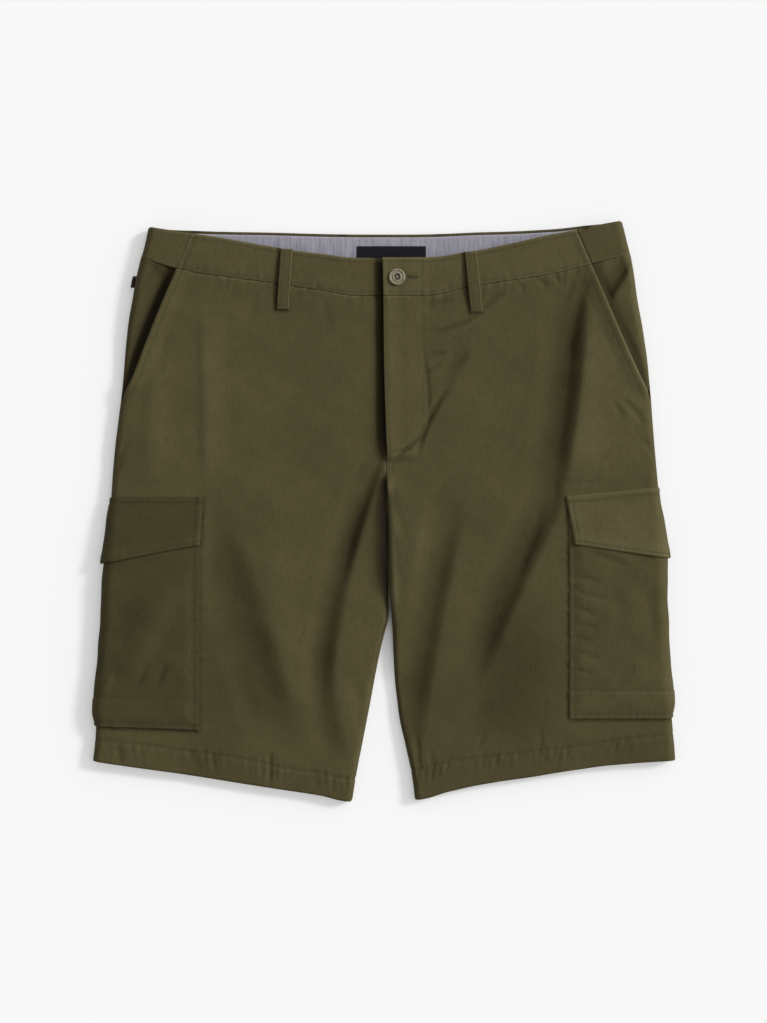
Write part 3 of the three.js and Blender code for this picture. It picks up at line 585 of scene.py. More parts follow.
def back_height(side, x, y):
    """Height of the back over the floor: lifted by belt loops, cargo pocket and flap under it."""
    cargo = CARGO[side]
    loops = (LOOP_CLOTH + SEAM) * ease(LOOPS_FOOT - BAND_RAMP, LOOPS_FOOT, y)
    foot = min(cargo["foot"], cargo["foot_side"]) - CARGO_FOOT_MARGIN
    top = cargo["flap_top"] + PAD_REACH
    pocket = ease(top + PAD_RAMP, top, y) * ease(foot - PAD_RAMP, foot, y)
    flap_top = max(cargo["flap_top"], cargo["flap_top_side"]) + PAD_REACH
    flap_foot = cargo["flap_point"] - PAD_REACH
    flap = ease(flap_top + PAD_RAMP, flap_top, y) * ease(flap_foot - PAD_RAMP, flap_foot, y)
    border = abs(cargo["pocket_x"]) - PAD_MARGIN
    span = ease(border - PAD_RAMP, border, np.abs(x))
    return loops + (CARGO_PAD * pocket + FLAP_PAD * flap) * span


def section(side, face, y):
    """Edges of one half at a height y, and the length of its cloth with the turned-over edges."""
    legs = ease(SEAT_END, LEGS_START, y)
    front = inner_edge[side](y)
    inner = front if face == "front" else mix(front, 0, ease(SEAT_END, SEAT_END + FLY_EDGE, y))
    outer = side_edge[side](y)
    width = np.abs(outer - inner)
    inseam_roll = INSEAM_ROLL * legs
    girth = width + (SIDE_ROLL + inseam_roll) * (QUARTER - 1)
    return legs, outer, width, inseam_roll, girth


def cloth_length(distance):
    """Distance on the cloth from the side edge: an arc over the rolled edge, then straight."""
    seen = np.maximum(distance, 0)
    bent = SIDE_ROLL * np.arccos(np.clip(1 - seen / SIDE_ROLL, -1, 1))
    return np.where(seen >= SIDE_ROLL, ROLL_LENGTH + seen - SIDE_ROLL, bent)


def along_at(side, x, y):
    """Distance on the cloth from the side edge to the place x."""
    return cloth_length(np.abs(side_edge[side](y) - x))


def skin(side, face, along, y):
    """Outer side of the shorts and its normal: arcs at the side and inside leg, heights between."""
    along, y = np.broadcast_arrays(np.asarray(along, float), np.asarray(y, float))
    legs, outer, width, inseam_roll, girth = section(side, face, y)
    up = 1 if face == "front" else -1
    left = girth - along
    side_turn = np.clip(along / SIDE_ROLL, 0, QUARTER)
    at_inseam = left < inseam_roll * QUARTER
    inseam_turn = np.where(at_inseam, left / np.maximum(inseam_roll, SEAM), QUARTER)
    seen = SIDE_ROLL + along - ROLL_LENGTH
    seen = np.where(side_turn < QUARTER, SIDE_ROLL * (1 - np.cos(side_turn)), seen)
    seen = np.where(at_inseam, width - inseam_roll * (1 - np.cos(inseam_turn)), seen)
    x = outer - SIGN[side] * seen
    height = front_height if face == "front" else back_height
    middle = mix(SIDE_MIDDLE, INSEAM_MIDDLE, np.minimum(seen / width, 1))
    share = np.sin(side_turn) * mix(1, np.sin(inseam_turn), legs)
    point = np.stack([x, y, mix(middle, height(side, x, y), share)], -1)
    slope_x = (height(side, x + 1, y) - height(side, x - 1, y)) / 2
    slope_y = (height(side, x, y + 1) - height(side, x, y - 1)) / 2
    side_tilt = QUARTER - side_turn
    inseam_tilt = legs * (QUARTER - inseam_turn)
    level = np.cos(side_tilt) * np.cos(inseam_tilt)
    outwards = SIGN[side] * (np.sin(side_tilt) - np.sin(inseam_tilt))
    normal = np.stack([outwards - up * slope_x * level, -up * slope_y * level, up * level], -1)
    return point, normal / np.linalg.norm(normal, axis=-1, keepdims=True)


def ring_skin(side, along, y):
    """Round the leg: in front where along is positive, underneath where it is negative."""
    above, below = skin(side, "front", np.abs(along), y), skin(side, "back", np.abs(along), y)
    shown = (along >= 0)[..., None]
    return tuple(np.where(shown, front, back) for front, back in zip(above, below))


def painted_light_patches(side, x, y):
    """How much paler a front is painted, as painted light and shade: sum of paleness * exp(-(off_x /
    reach_x)^2 - (off_y / reach_y)^2).
    """
    total = np.zeros(x.shape)
    for middle_x, middle_y, reach_x, reach_y, paleness in PAINTED_LIGHT_PATCHES[side]:
        off = ((x - middle_x) / reach_x) ** 2 + ((y - middle_y) / reach_y) ** 2
        total += paleness * np.exp(-off)
    return total


def pucker(off, along, reach, size, seed, lengths=WAVES["seam"]):
    """Gathers beside a seam: size * exp(-(off / reach)^2) * unequal waves along the seam."""
    random = np.random.default_rng(seed)
    waves = 0
    for length in lengths:
        drift, phase = random.uniform(-0.3, 0.3), random.uniform(0, TURN)
        waves = waves + np.sin(TURN * (along + drift * off) / length + phase)
    strength = 0.6 + 0.4 * np.sin(TURN * along / LONG_WAVE + random.uniform(0, TURN))
    return size * np.exp(-((off / reach) ** 2)) * waves * strength / 2


def groove(off, depth, reach):
    """Line pressed in by sewing: -depth * exp(-(off / reach)^2)."""
    return -depth * np.exp(-((off / reach) ** 2))


def sewn_shade(*offs):
    """Shade that pressed rows of stitches hold, from the distances to each row."""
    return sum(groove(off, ROW_SHADE["depth"], ROW_SHADE["reach"]) for off in offs)


def round_edge(off, radius):
    """Rounded folded edge: a quarter circle of this radius from the edge inwards."""
    share = 1 - np.clip(off / radius, 0, 1)
    return -radius * (1 - np.sqrt(1 - share * share))


def round_edges(radius, *offs):
    """Sum of edges rounded with one radius."""
    return sum(round_edge(off, radius) for off in offs)


def swells(x, y, size):
    """Slow unevenness of worn cloth: a sum of long crossing waves."""
    total = 0
    for length, turn, phase in SWELL_WAVES:
        place = (x * np.cos(turn) + y * np.sin(turn)) / length
        total = total + np.sin(TURN * place + phase + np.sin(y / 53 + phase)) * length / 97
    return size * total


def path_distance(path, x, y):
    """Distance from each point to the nearest of the dense points of a path."""
    return np.sqrt(((x[..., None] - path[0]) ** 2 + (y[..., None] - path[1]) ** 2).min(-1))


def dense(table, count=120):
    """Evenly spaced points on a line of points, rounded with a smooth curve over its length."""
    x, y = np.array(table["x"], float), np.array(table["y"], float)
    run = np.concatenate([[0], np.cumsum(np.hypot(np.diff(x), np.diff(y)))])
    at = np.linspace(0, run[-1], count)
    return (curve({"run": run, "x": x}, "run", "x")(at), curve({"run": run, "y": y}, "run", "y")(at))


fly_path = dense(FLY_SEAM)


def slant_start(side, y):
    """Where the slanted pocket edge is, on the cloth from the side edge; 0 below its end."""
    return np.where(y <= SLANT_END, 0, along_at(side, slant[side](y), y))


def fly_lap(side, x, y):
    """1 on the lap of the fly, 0 beyond its stitching."""
    if side == "right":
        return np.zeros(np.broadcast(x, y).shape)
    return ease(FLY_STITCH, FLY_EDGE, x) * ease(FLY_FOOT, FLY_FOOT + SIDE_ROLL, y)


def mouth_lift(side, y, along):
    """How far the edge of a slanted pocket stands off the facing under it."""
    gape = ease(SLANT_END, SLANT_END + FACING_UNDERLAP, y) * ease(*MOUTH_REST, y)
    edge = ease(FACING_UNDERLAP, 0, along - slant_start(side, y))
    return np.where(y < SLANT_END, 0, MOUTH_LIFT[side] * gape * edge)


def seam_offs(side, face, along, x, y):
    """Distances inwards from the seams, edges and pressed lines of a half and of its waistband."""
    seam, top = (waist_seam, band_top) if face == "front" else (back_seam, back_top)
    offs = {
        "waist": seam(x) - y,
        "seam": y - seam(x),
        "top": top(x) - y,
        "hem": y - hem_stitch(x),
        "foot": y - hem_edge(x),
        "slant": along - slant_start(side, y),
        "centre": section(side, face, y)[-1] - along,
        "pocket": np.abs(np.abs(x) - abs(CARGO[side]["pocket_x"])),
    }
    if (side, face) == ("left", "front"):
        offs["fly"] = path_distance(fly_path, x, y)
    return offs


def sewn(kind, offs, x, y, seed=0, fades=None):
    """Rounded edges, pressed lines and gathers of a kind of piece; fades end them at an edge."""
    runs = {"x": x, "y": y}
    relief = 0
    for effect, edge, *row in SEWING[kind]:
        if effect == "round":
            height = round_edge(offs[edge], *row)
        elif effect == "pressed":
            inside, depth, reach = row
            height = groove(offs[edge] - inside, depth, reach)
        else:
            inside, run, reach, size, number = row
            waves = WAVES.get(edge, WAVES["seam"])
            height = pucker(offs[edge] - inside, runs[run], reach, size, seed + number, waves)
        relief = relief + height * (fades or {}).get(edge, 1)
    return relief


def front_relief(side, x, y, along, offs):
    """Creases, gathers at the seams, pressed stitch lines and rounded edges of a front."""
    cargo = CARGO[side]
    top, foot, border = cargo["flap_top"], cargo["foot"], abs(cargo["pocket_x"])
    under = ease(border - 1, border + 6, np.abs(x)) * window(y, foot - 6, foot + 2, top + 4, top + 12)
    below_fly = ease(*BELOW_FLY[side], y)
    fades = {"slant": np.where(y > SLANT_END, 1, 0), "centre": below_fly,
             "pocket": window(y, foot - 5, foot + 5, top - 5, top + 5)}
    seed = SEEDS["front"][side]
    relief = CREASE_DEPTH * creases(CREASES[side], x, y) + swells(x, y, 0.3)
    relief += sewn("front", offs, x, y, seed, fades) + sewn(f"front_{side}", offs, x, y, seed, fades)
    relief += HEM_LIFT * ease(1, -2, offs["hem"])
    for inside, depth, reach, *span in CROTCH_LINES[side]:
        relief += groove(offs["centre"] - inside, depth, reach) * window(y, *span)
    if side == "left":
        depth = mix(FLY_LINE["upper"], FLY_LINE["lower"], ease(80, 60, y))
        relief += groove(offs["fly"], depth, FLY_LINE["reach"])
        edge = round_edge(offs["centre"], FLY_LINE["edge"]) + FLY_RISE * ease(FLY_EDGE, -2, x)
        relief += (1 - below_fly) * edge
    else:
        reach = mix(UNDER_FLY["wide"], UNDER_FLY["reach"], ease(60, 120, y))
        relief += groove(x - UNDER_FLY["x"], UNDER_FLY["depth"], reach) * ease(46, 74, y)
    inside = ease(0, ROLL_LENGTH, along) * ease(0, INSEAM_ROLL, offs["centre"])
    return relief * (1 - under) * mix(EDGE_CALM, 1, inside)


def hollow(name, off):
    """Shade in the gap outside an edge, off inwards from it."""
    outside, depth, reach = HOLLOWS[name]
    return groove(off + outside, depth, reach)


def hollow_shade(side, x, y, offs):
    """Shade in the gaps: round the belt loop, the flap and the pocket, at the hem, fly and crotch."""
    cargo, loop, away = CARGO[side], FRONT_LOOPS[side], np.abs(x)
    loop_foot = loop["top"] - LOOP_LENGTH
    loop_x = mix(loop["foot_x"], loop["top_x"], (y - loop_foot) / LOOP_LENGTH) - LOOP_WIDTH / 2
    across = (x - loop["foot_x"]) / LOOP_WIDTH
    shade = hollow("loop", x - loop_x) * ease(loop_foot - 3, loop_foot, y)
    shade += hollow("loop_foot", y - loop_foot) * window(across, -0.75, -0.55, 0.4, 0.7)
    way = (cargo["flap_top"] - y) / (cargo["flap_top"] - cargo["flap_foot"])
    flap_x = abs(mix(cargo["flap_x"], cargo["flap_foot_x"], way))
    shade += hollow("flap", away - flap_x) * window(way, -0.06, 0.06, 0.94, 1.06)
    pocket_x = abs(cargo["pocket_x"])
    covered = (away - pocket_x) / (np.abs(side_edge[side](y)) - pocket_x)
    foot = mix(cargo["foot"], cargo["foot_side"], covered)
    shade += hollow("pocket_foot", y - foot) * ease(-0.03, 0.03, covered)
    beside = window(y, cargo["foot"] - 2, cargo["foot"] + 2, cargo["flap_foot"] - 4,
                    cargo["flap_foot"] + 4)
    shade += hollow("pocket", away - pocket_x) * beside
    shade += hollow("hem", offs["hem"]) - HEM_SHADE * ease(2, -2, offs["hem"])
    shade += np.where(y > SLANT_END, sewn_shade(offs["slant"] - SLANT_ROW), 0)
    inside, depth, thin, wide, *low = CROTCH_SHADE[side]
    reach = mix(thin, wide, window(y, -104, -56, -6, 50))
    shade += groove(offs["centre"] - inside, depth, reach) * window(y, *low, 24, 38)
    if side == "left":
        return shade + sewn_shade(offs["fly"])
    return shade - FLY_SHADE * ease(-13, -1, x) * ease(44, 60, y)


def raised(point, normal, stand, painted_shade):
    """Cloth that stands off a skin along its normal: its points, normals and marks of painted shade,
    darker in troughs and gaps and paler on ridges.
    """
    return point + normal * stand[..., None], normal, painted_shade


def front_cloth(side, along, y):
    """Outer side of a front: skin + normal * (fly lap + pocket edge + relief)."""
    point, normal = skin(side, "front", along, y)
    x = point[..., 0]
    offs = seam_offs(side, "front", along, x, y)
    relief = front_relief(side, x, y, along, offs)
    stand = FLY_LIFT * fly_lap(side, x, y) + mouth_lift(side, y, along) + relief
    # Painted shade: troughs of the relief and broad folds darker, ridges paler, and the gaps beside
    # pieces darkened
    painted_shade = relief + creases(BROAD_FOLDS[side], x, y) + hollow_shade(side, x, y, offs)
    return raised(point, normal, stand, painted_shade)


def places(counts):
    """Stretch number and share along it of each grid line, for stretches of equal cells."""
    stretch = np.concatenate([[0]] + [np.full(cells, k) for k, cells in enumerate(counts)])
    share = np.concatenate([[0]] + [np.arange(1, cells + 1) / cells for cells in counts])
    return stretch.astype(int), share


def between(stops, stretch, share, shape):
    """Place of each grid line: start of its stretch + its share of that stretch."""
    stops = np.array([np.broadcast_to(np.asarray(stop, float), shape) for stop in stops])
    stretch = np.broadcast_to(stretch, shape)[None]
    start = np.take_along_axis(stops, stretch, 0)[0]
    end = np.take_along_axis(stops, stretch + 1, 0)[0]
    return mix(start, end, share)


def lattice(side, face, kind, columns_at, rows_at):
    """Grid of places on the cloth: column lines depend on y and row lines on x, found in turns."""
    columns, rows = CELLS[kind]
    column_stretch, column_share = places(columns)
    row_stretch, row_share = places(rows)
    shape = (row_share.size, column_share.size)
    x = np.zeros(shape)
    for _ in range(SEARCH_TURNS):
        y = between(rows_at(x), row_stretch[:, None], row_share[:, None], shape)
        along = between(columns_at(y), column_stretch[None], column_share[None], shape)
        x = skin(side, face, along, y)[0][..., 0]
    return along, y


def cloth_area(grid):
    """Area of a grid in square metres: half the crossed diagonals of each cell."""
    one = grid[1:, 1:] - grid[:-1, :-1]
    other = grid[1:, :-1] - grid[:-1, 1:]
    return np.linalg.norm(np.cross(one, other), axis=-1).sum() / 2 * MM * MM


def mesh_object(name, points, faces, finish, places_uv=None, marks=None):
    """Object from points in millimetres, faces, a finish, places for UV and marks per point."""
    mesh = bpy.data.meshes.new(name)
    mesh.from_pydata((points * MM).tolist(), [], faces)
    mesh.shade_smooth()
    if places_uv is not None:
        corner = np.zeros(len(mesh.loops), np.int32)
        mesh.loops.foreach_get("vertex_index", corner)
        layer = mesh.uv_layers.new(name="UVMap")
        layer.data.foreach_set("uv", (places_uv[corner] * MM).astype(np.float32).ravel())
    for mark, values in (marks or {}).items():
        attribute = mesh.attributes.new(mark, "FLOAT", "POINT")
        attribute.data.foreach_set("value", values.astype(np.float32))
    mesh.materials.append(finish)
    thing = bpy.data.objects.new(name, mesh)
    bpy.context.scene.collection.objects.link(thing)
    return thing


def signed_volume(points, quads):
    """Volume inside quads, positive when they face outwards."""
    a, b, c, d = (points[quads[:, k]] for k in range(4))
    one = np.einsum("ij,ij->i", a, np.cross(b, c))
    other = np.einsum("ij,ij->i", a, np.cross(c, d))
    return (one + other).sum()


def cloth_piece(name, node, outer, normal, cloth, uv, wear, painted_shade, shade=0.0, finish=None):
    """Closed shell of cloth: outer grid, inner grid = outer - normal * thickness, and rims."""
    rows, columns = outer.shape[:2]
    inner = outer - normal * np.broadcast_to(cloth, outer.shape[:2])[..., None]
    points = np.concatenate([outer.reshape(-1, 3), inner.reshape(-1, 3)])
    number = np.arange(rows * columns).reshape(rows, columns)
    quads = np.stack([number[:-1, :-1], number[:-1, 1:], number[1:, 1:], number[1:, :-1]], -1)
    quads = quads.reshape(-1, 4)
    rim = np.concatenate([number[0, :-1], number[:-1, -1], number[-1, :0:-1], number[:0:-1, 0]])
    ahead = np.roll(rim, -1)
    wall = np.stack([ahead, rim, rim + number.size, ahead + number.size], -1)
    faces = np.concatenate([quads, quads[:, ::-1] + number.size, wall])
    if signed_volume(points, faces) < 0:
        faces = faces[:, ::-1]
    # Marks: wear, painted shade from the relief and the gaps, and painted light and shade on patches
    # and pieces
    marks = {"wear": wear, "painted_shade": painted_shade, "shade": shade + np.zeros(wear.shape)}
    both = {mark: np.tile(values.ravel(), 2) for mark, values in marks.items()}
    finish = finish or olive
    piece = mesh_object(name, points, faces.tolist(), finish, np.tile(uv.reshape(-1, 2), (2, 1)), both)
    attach(piece, "root")
    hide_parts(node)
    if node in SHEETS:
        flat, rests_on = SHEETS[node]
        area = min(cloth_area(outer), flat[0] * flat[1])


class Wire:
    """A socket in a material's nodes; the usual operators add Math nodes."""

    def __init__(self, tree, socket=None):
        self.tree = tree
        self.socket = socket

    def node(self, kind, settings=None, inputs=None, output=0):
        """New node: its settings are set first, then the values or links of its sockets."""
        made = self.tree.nodes.new(kind)
        for name, value in (settings or {}).items():
            setattr(made, name, value)
        for name, value in (inputs or {}).items():
            if isinstance(value, Wire):
                self.tree.links.new(value.socket, made.inputs[name])
            else:
                made.inputs[name].default_value = value
        return Wire(self.tree, made.outputs[output])

    def maths(self, operation, *values):
        """Math node of this operation on values or wires."""
        return self.node("ShaderNodeMath", {"operation": operation}, dict(enumerate(values)))

    def __add__(self, other):
        return self.maths("ADD", self, other)

    def __radd__(self, other):
        return self.maths("ADD", other, self)

    def __sub__(self, other):
        return self.maths("SUBTRACT", self, other)

    def __rsub__(self, other):
        return self.maths("SUBTRACT", other, self)

    def __mul__(self, other):
        return self.maths("MULTIPLY", self, other)

    def __rmul__(self, other):
        return self.maths("MULTIPLY", other, self)

    def within(self):
        """The value kept between 0 and 1."""
        return self.maths("MINIMUM", self.maths("MAXIMUM", self, 0.0), 1.0)

    def tint(self, start, end, share):
        """Colour between two colours."""
        return self.node("ShaderNodeMix", {"data_type": "RGBA"}, {0: share, 6: start, 7: end}, 2)

    def noise(self, place, scale, detail=3.0, rough=0.55):
        """Noise up and down from 0."""
        inputs = {"Vector": place, "Scale": scale, "Detail": detail, "Roughness": rough}
        return self.node("ShaderNodeTexNoise", {"noise_dimensions": "3D"}, inputs) - 0.5

    def ribs(self, place, pitch):
        """Sine wave over ribs this many millimetres apart."""
        return self.maths("SINE", place * (TURN / (pitch * MM)))

    def drawn_out(self, place, share):
        """Place shortened along the yarns, which draws noise out along them."""
        return self.node("ShaderNodeMapping", None, {"Vector": place, "Scale": (1, share, 1)})


def colour(red, green, blue):
    """Linear colour with alpha from 0-255 display values."""
    shown = np.array([red, green, blue]) / 255
    linear = np.where(shown <= 0.04045, shown / 12.92, ((shown + 0.055) / 1.055) ** 2.4)
    return (*linear.tolist(), 1.0)


def start_finish(name):
    """New material without nodes, and the wire that makes its nodes."""
    material = bpy.data.materials.new(name)
    material.use_nodes = True
    material.node_tree.nodes.clear()
    return material, Wire(material.node_tree)


def close_finish(wires, paint, rough, height, constants):
    """Principled shader with its bump in millimetres, linked to the material's output."""
    bump = wires.node("ShaderNodeBump", None, {"Strength": 1.0, "Distance": MM, "Height": height})
    inputs = {"Base Color": paint, "Roughness": rough, "Normal": bump, **constants}
    shader = wires.node("ShaderNodeBsdfPrincipled", None, inputs)
    output = wires.tree.nodes.new("ShaderNodeOutputMaterial")
    wires.tree.links.new(shader.socket, output.inputs["Surface"])


def cloth_place(wires):
    """Place on the cloth, in metres, and its two parts."""
    place = wires.node("ShaderNodeTexCoord", output=2)
    parts = wires.node("ShaderNodeSeparateXYZ", None, {"Vector": place})
    return place, parts, Wire(wires.tree, parts.socket.node.outputs[1])


def mark(wires, name):
    """Mark kept on the points of a mesh: wear; painted shade, darker in troughs and gaps and paler on
    ridges; or painted light and shade on patches and whole pieces.
    """
    return wires.node("ShaderNodeAttribute", {"attribute_name": name}, output=2)


def twill(name, deep_shade, dark, main, pale, pitch=0.95):
    """Garment-washed twill: diagonal ribs, uneven dye and paler worn edges, with painted shade in
    troughs and gaps, paler ridges, and painted light and shade on patches and pieces.
    """
    material, wires = start_finish(name)
    place, across, down = cloth_place(wires)
    ribs = wires.ribs(across + down * 0.8, pitch)
    yarns = wires.ribs(across, 0.62)
    cloud = wires.noise(place, 14.0)
    blotch = wires.noise(place, 90.0)
    grain = wires.noise(place, 900.0, 2.0, 0.7)
    fleck = wires.noise(place, 330.0, 2.0, 0.7)
    slub = wires.noise(wires.drawn_out(place, 0.12), 700.0, 2.0)
    dye = cloud * 0.2 + blotch * 0.26 + grain * 0.55 + slub * 0.5 + fleck * 0.45
    # Uneven dye, with painted shade from the relief and the gaps and painted light and shade of
    # patches and pieces
    value = dye * 0.9 + mark(wires, "painted_shade") * 0.11 + mark(wires, "shade")
    worn = mark(wires, "wear") * (0.45 + grain * 0.5)
    paint = wires.tint(main, dark, (0.0 - value).within())
    paint = wires.tint(paint, pale, (value + ribs * 0.05 + worn).within())
    # Painted deep shadow where the painted shade is darkest
    paint = wires.tint(paint, deep_shade, ((-1.0 - value) * 0.8).within())
    height = ribs * 0.035 + yarns * 0.015 + grain * 0.1 + blotch * 0.12
    close_finish(wires, paint, 0.86 + grain * 0.1, height,
                 {"Specular IOR Level": 0.12, "Sheen Weight": 0.06, "Sheen Roughness": 0.5,
                  "Sheen Tint": pale})
    return material


def chambray(name):
    """Lining: pale yarns one way over grey-blue yarns the other, with slubs along them."""
    material, wires = start_finish(name)
    place, across, down = cloth_place(wires)
    weave = wires.ribs(across, 0.7) * wires.ribs(down, 0.8)
    streak = wires.noise(wires.drawn_out(place, 0.1), 420.0, 2.0)
    cloud = wires.noise(place, 60.0)
    share = (streak * 1.5 + cloud * 0.6 + weave * 0.12 + 0.5).within()
    paint = wires.tint(colour(116, 115, 127), colour(165, 162, 172), share)
    paint = wires.tint(paint, colour(182, 180, 190), (mark(wires, "wear") * 0.3).within())
    close_finish(wires, paint, 0.85 + streak * 0.1, weave * 0.03 + streak * 0.08,
                 {"Specular IOR Level": 0.25, "Sheen Weight": 0.1, "Sheen Roughness": 0.5})
    return material


def woven_label(name):
    """Plain dark label: fine cross-woven ribs with a slight sheen."""
    material, wires = start_finish(name)
    place, across, down = cloth_place(wires)
    weave = wires.ribs(down, 0.45) * wires.ribs(across, 0.6)
    grain = wires.noise(place, 1100.0, 2.0)
    share = (0.4 + weave * 0.2 + grain * 1.2 + mark(wires, "wear") * 0.5).within()
    paint = wires.tint(colour(7, 7, 10), colour(27, 26, 32), share)
    close_finish(wires, paint, 0.6 + grain * 0.2, weave * 0.03,
                 {"Specular IOR Level": 0.12, "Sheen Weight": 0.04})
    return material


def horn(name):
    """Moulded button in mottled beige: cloudy colour, darker flecks and a satin surface, with painted
    shade in its recess.
    """
    material, wires = start_finish(name)
    place = wires.node("ShaderNodeTexCoord", output=3)
    cloud = wires.noise(place, 260.0)
    fleck = wires.noise(place, 1500.0, 2.0)
    paint = wires.tint(colour(96, 88, 68), colour(150, 141, 114), (cloud * 1.6 + 0.5).within())
    paint = wires.tint(paint, colour(74, 66, 48), ((fleck - 0.08) * 5.0).within())
    # Painted shade in the recess round the button's middle
    paint = wires.tint(paint, colour(40, 34, 22), (mark(wires, "painted_shade") * 0.9).within())
    close_finish(wires, paint, 0.42 + cloud * 0.2, fleck * 0.03,
                 {"Specular IOR Level": 0.5, "Coat Roughness": 0.3})
    return material


def thread(name, dark, pale):
    """Sewing thread: fuzzy, unevenly dyed, slightly shinier than the cloth."""
    material, wires = start_finish(name)
    place = wires.node("ShaderNodeTexCoord", output=3)
    fuzz = wires.noise(place, 2200.0, 2.0)
    drift = wires.noise(place, 120.0, 2.0)
    paint = wires.tint(dark, pale, (fuzz * 1.2 + drift + 0.5).within())
    close_finish(wires, paint, 0.6 + fuzz * 0.2, fuzz * 0.05,
                 {"Specular IOR Level": 0.35, "Sheen Weight": 0.1})
    return material


olive = twill("olive_twill", colour(26, 20, 11), colour(47, 41, 23), colour(76, 70, 44),
              colour(107, 101, 70))
chambray_lining = chambray("chambray_lining")
plain_label = woven_label("plain_label")
beige_horn = horn("beige_horn")
olive_thread = thread("olive_thread", colour(52, 46, 28), colour(86, 80, 53))
tab_cloth = twill("brown_tab", colour(16, 11, 7), colour(30, 22, 14), colour(48, 37, 26),
                  colour(80, 66, 50), 0.7)


def edge_mark(*offs):
    """Wear mark: strongest on an edge and gone 3 mm inside it."""
    return sum(np.exp(-((off / 1.3) ** 2)) for off in offs)


def front_stops(side, y):
    """Column lines of a front: slanted edge, past its roll, cargo pocket border, centre, edge."""
    _, outer, _, inseam_roll, girth = section(side, "front", y)
    start = np.maximum(slant_start(side, y), SEAM / 2)
    cargo_x = mix(abs(CARGO[side]["pocket_x"]), FRONT_COLUMN, ease(30, 250, y))
    cargo = cloth_length(np.abs(outer) - cargo_x)
    end = girth - SEAM / 2
    centre = end - np.maximum(inseam_roll * QUARTER, SIDE_ROLL)
    return [start, start + ROLL_LENGTH, cargo, centre, end]


def back_stops(side, y):
    """Column lines of a back: side, past its roll, pocket pad and its ramp, centre, edge."""
    _, outer, _, inseam_roll, girth = section(side, "back", y)
    border = cloth_length(np.abs(outer) - abs(CARGO[side]["pocket_x"]) + PAD_MARGIN)
    end = girth - SEAM / 2
    centre = end - np.maximum(inseam_roll * QUARTER, SIDE_ROLL)
    return [SEAM / 2, ROLL_LENGTH, border, border + PAD_RAMP, centre, end]


def cloth_uv(side, along, y, shift_x=0, shift_y=0):
    """Place on the cloth as it is cut, shifted so that neighbours differ."""
    return np.stack([SIGN[side] * along + shift_x, y + shift_y], -1)


def make_front(side):
    """Front with its folded hem: rows from the waist seam to the hem stitch and the lower edge."""
    along, y = lattice(side, "front", "front", lambda y: front_stops(side, y),
                       lambda x: [waist_seam(x) - SEAM / 2, hem_stitch(x), hem_edge(x)])
    outer, normal, painted_shade = front_cloth(side, along, y)
    x = outer[..., 0]
    offs = seam_offs(side, "front", along, x, y)
    cloth = mix(CLOTH, HEM_CLOTH, ease(0, -1.5, offs["hem"]))
    mouth = np.where(y > SLANT_END, offs["slant"], SIDE_ROLL)
    wear = edge_mark(offs["waist"], offs["foot"], mouth, offs["centre"])
    wear = wear + 0.3 * edge_mark(offs["hem"] + 2)
    cloth_piece(f"front_cloth_{side}", f"front_{side}", outer, normal, cloth,
                cloth_uv(side, along, y), wear, painted_shade, painted_light_patches(side, x, y))


def make_back(side):
    """Back, resting on the floor, with its folded hem and a few soft creases."""
    along, y = lattice(side, "back", "back", lambda y: back_stops(side, y),
                       lambda x: [back_seam(x) - SEAM, hem_stitch(x), hem_edge(x) - SEAM])
    point, normal = skin(side, "back", along, y)
    x = point[..., 0]
    offs = seam_offs(side, "back", along, x, y)
    calm = ease(0, 12, offs["centre"]) * ease(0, 12, along) * ease(0, 10, offs["foot"])
    relief = creases(BACK_CREASES[side], x, y) * calm + sewn("back", offs, x, y)
    for edge, seed in SEEDS["back"].items():
        relief += np.minimum(pucker(offs[edge], x, 9, 0.25, seed), 0)
    outer, normal, painted_shade = raised(point, normal, relief, relief)
    cloth = mix(CLOTH, HEM_CLOTH, ease(0, -1.5, offs["hem"]))
    wear = edge_mark(offs["foot"], offs["centre"], offs["waist"])
    cloth_piece(f"back_cloth_{side}", f"back_{side}", outer, normal, cloth,
                cloth_uv(side, along, y), wear, painted_shade)


def make_facing(side):
    """Pocket facing: from the side edge to under the slanted edge of the pocket."""
    def columns_at(y):
        """From the side edge over its roll to under the slanted edge."""
        return [SEAM / 2, ROLL_LENGTH, np.maximum(slant_start(side, y), 0) + FACING_UNDERLAP]

    along, y = lattice(side, "front", "facing", columns_at,
                       lambda x: [waist_seam(x) + HAIR, FACING_FOOT])
    point, normal = skin(side, "front", along, y)
    x = point[..., 0]
    mouth = slant_start(side, y)
    offs = {"waist": waist_seam(x) - y, "slant": mouth - along}
    beneath = ease(0, np.maximum(mouth - 2, 1), along)
    out = -mix(SLANT_TUCK, (CLOTH + SEAM) * beneath, ease(SIDE_ROLL / 2, ROLL_LENGTH, mouth))
    shown = ease(0, 6, offs["slant"]) * ease(0, ROLL_LENGTH, along)
    near = ease(22, 4, offs["slant"]) * window(y, SLANT_END, 140, 205, 250)
    relief = swells(x, y, 0.25) + sewn("facing", offs, x, y) + creases(FACING_CREASES[side], x, y)
    relief = shown * (relief - FACING_TUCK[side] * near)
    # Painted shade: the facing darker all over, as it lies under the front, and darkest at the pocket
    # mouth
    painted_shade = relief - 0.6 - FACING_MOUTH_SHADE[side] * ease(13, 2, offs["slant"])
    outer, normal, painted_shade = raised(point, normal, out + relief, painted_shade)
    cloth_piece(f"pocket_facing_cloth_{side}", f"pocket_facing_{side}", outer, normal, CLOTH,
                cloth_uv(side, along, y, 40), 0.6 * edge_mark(offs["waist"]), painted_shade,
                PIECE_LIGHT["pocket_facing"][side])


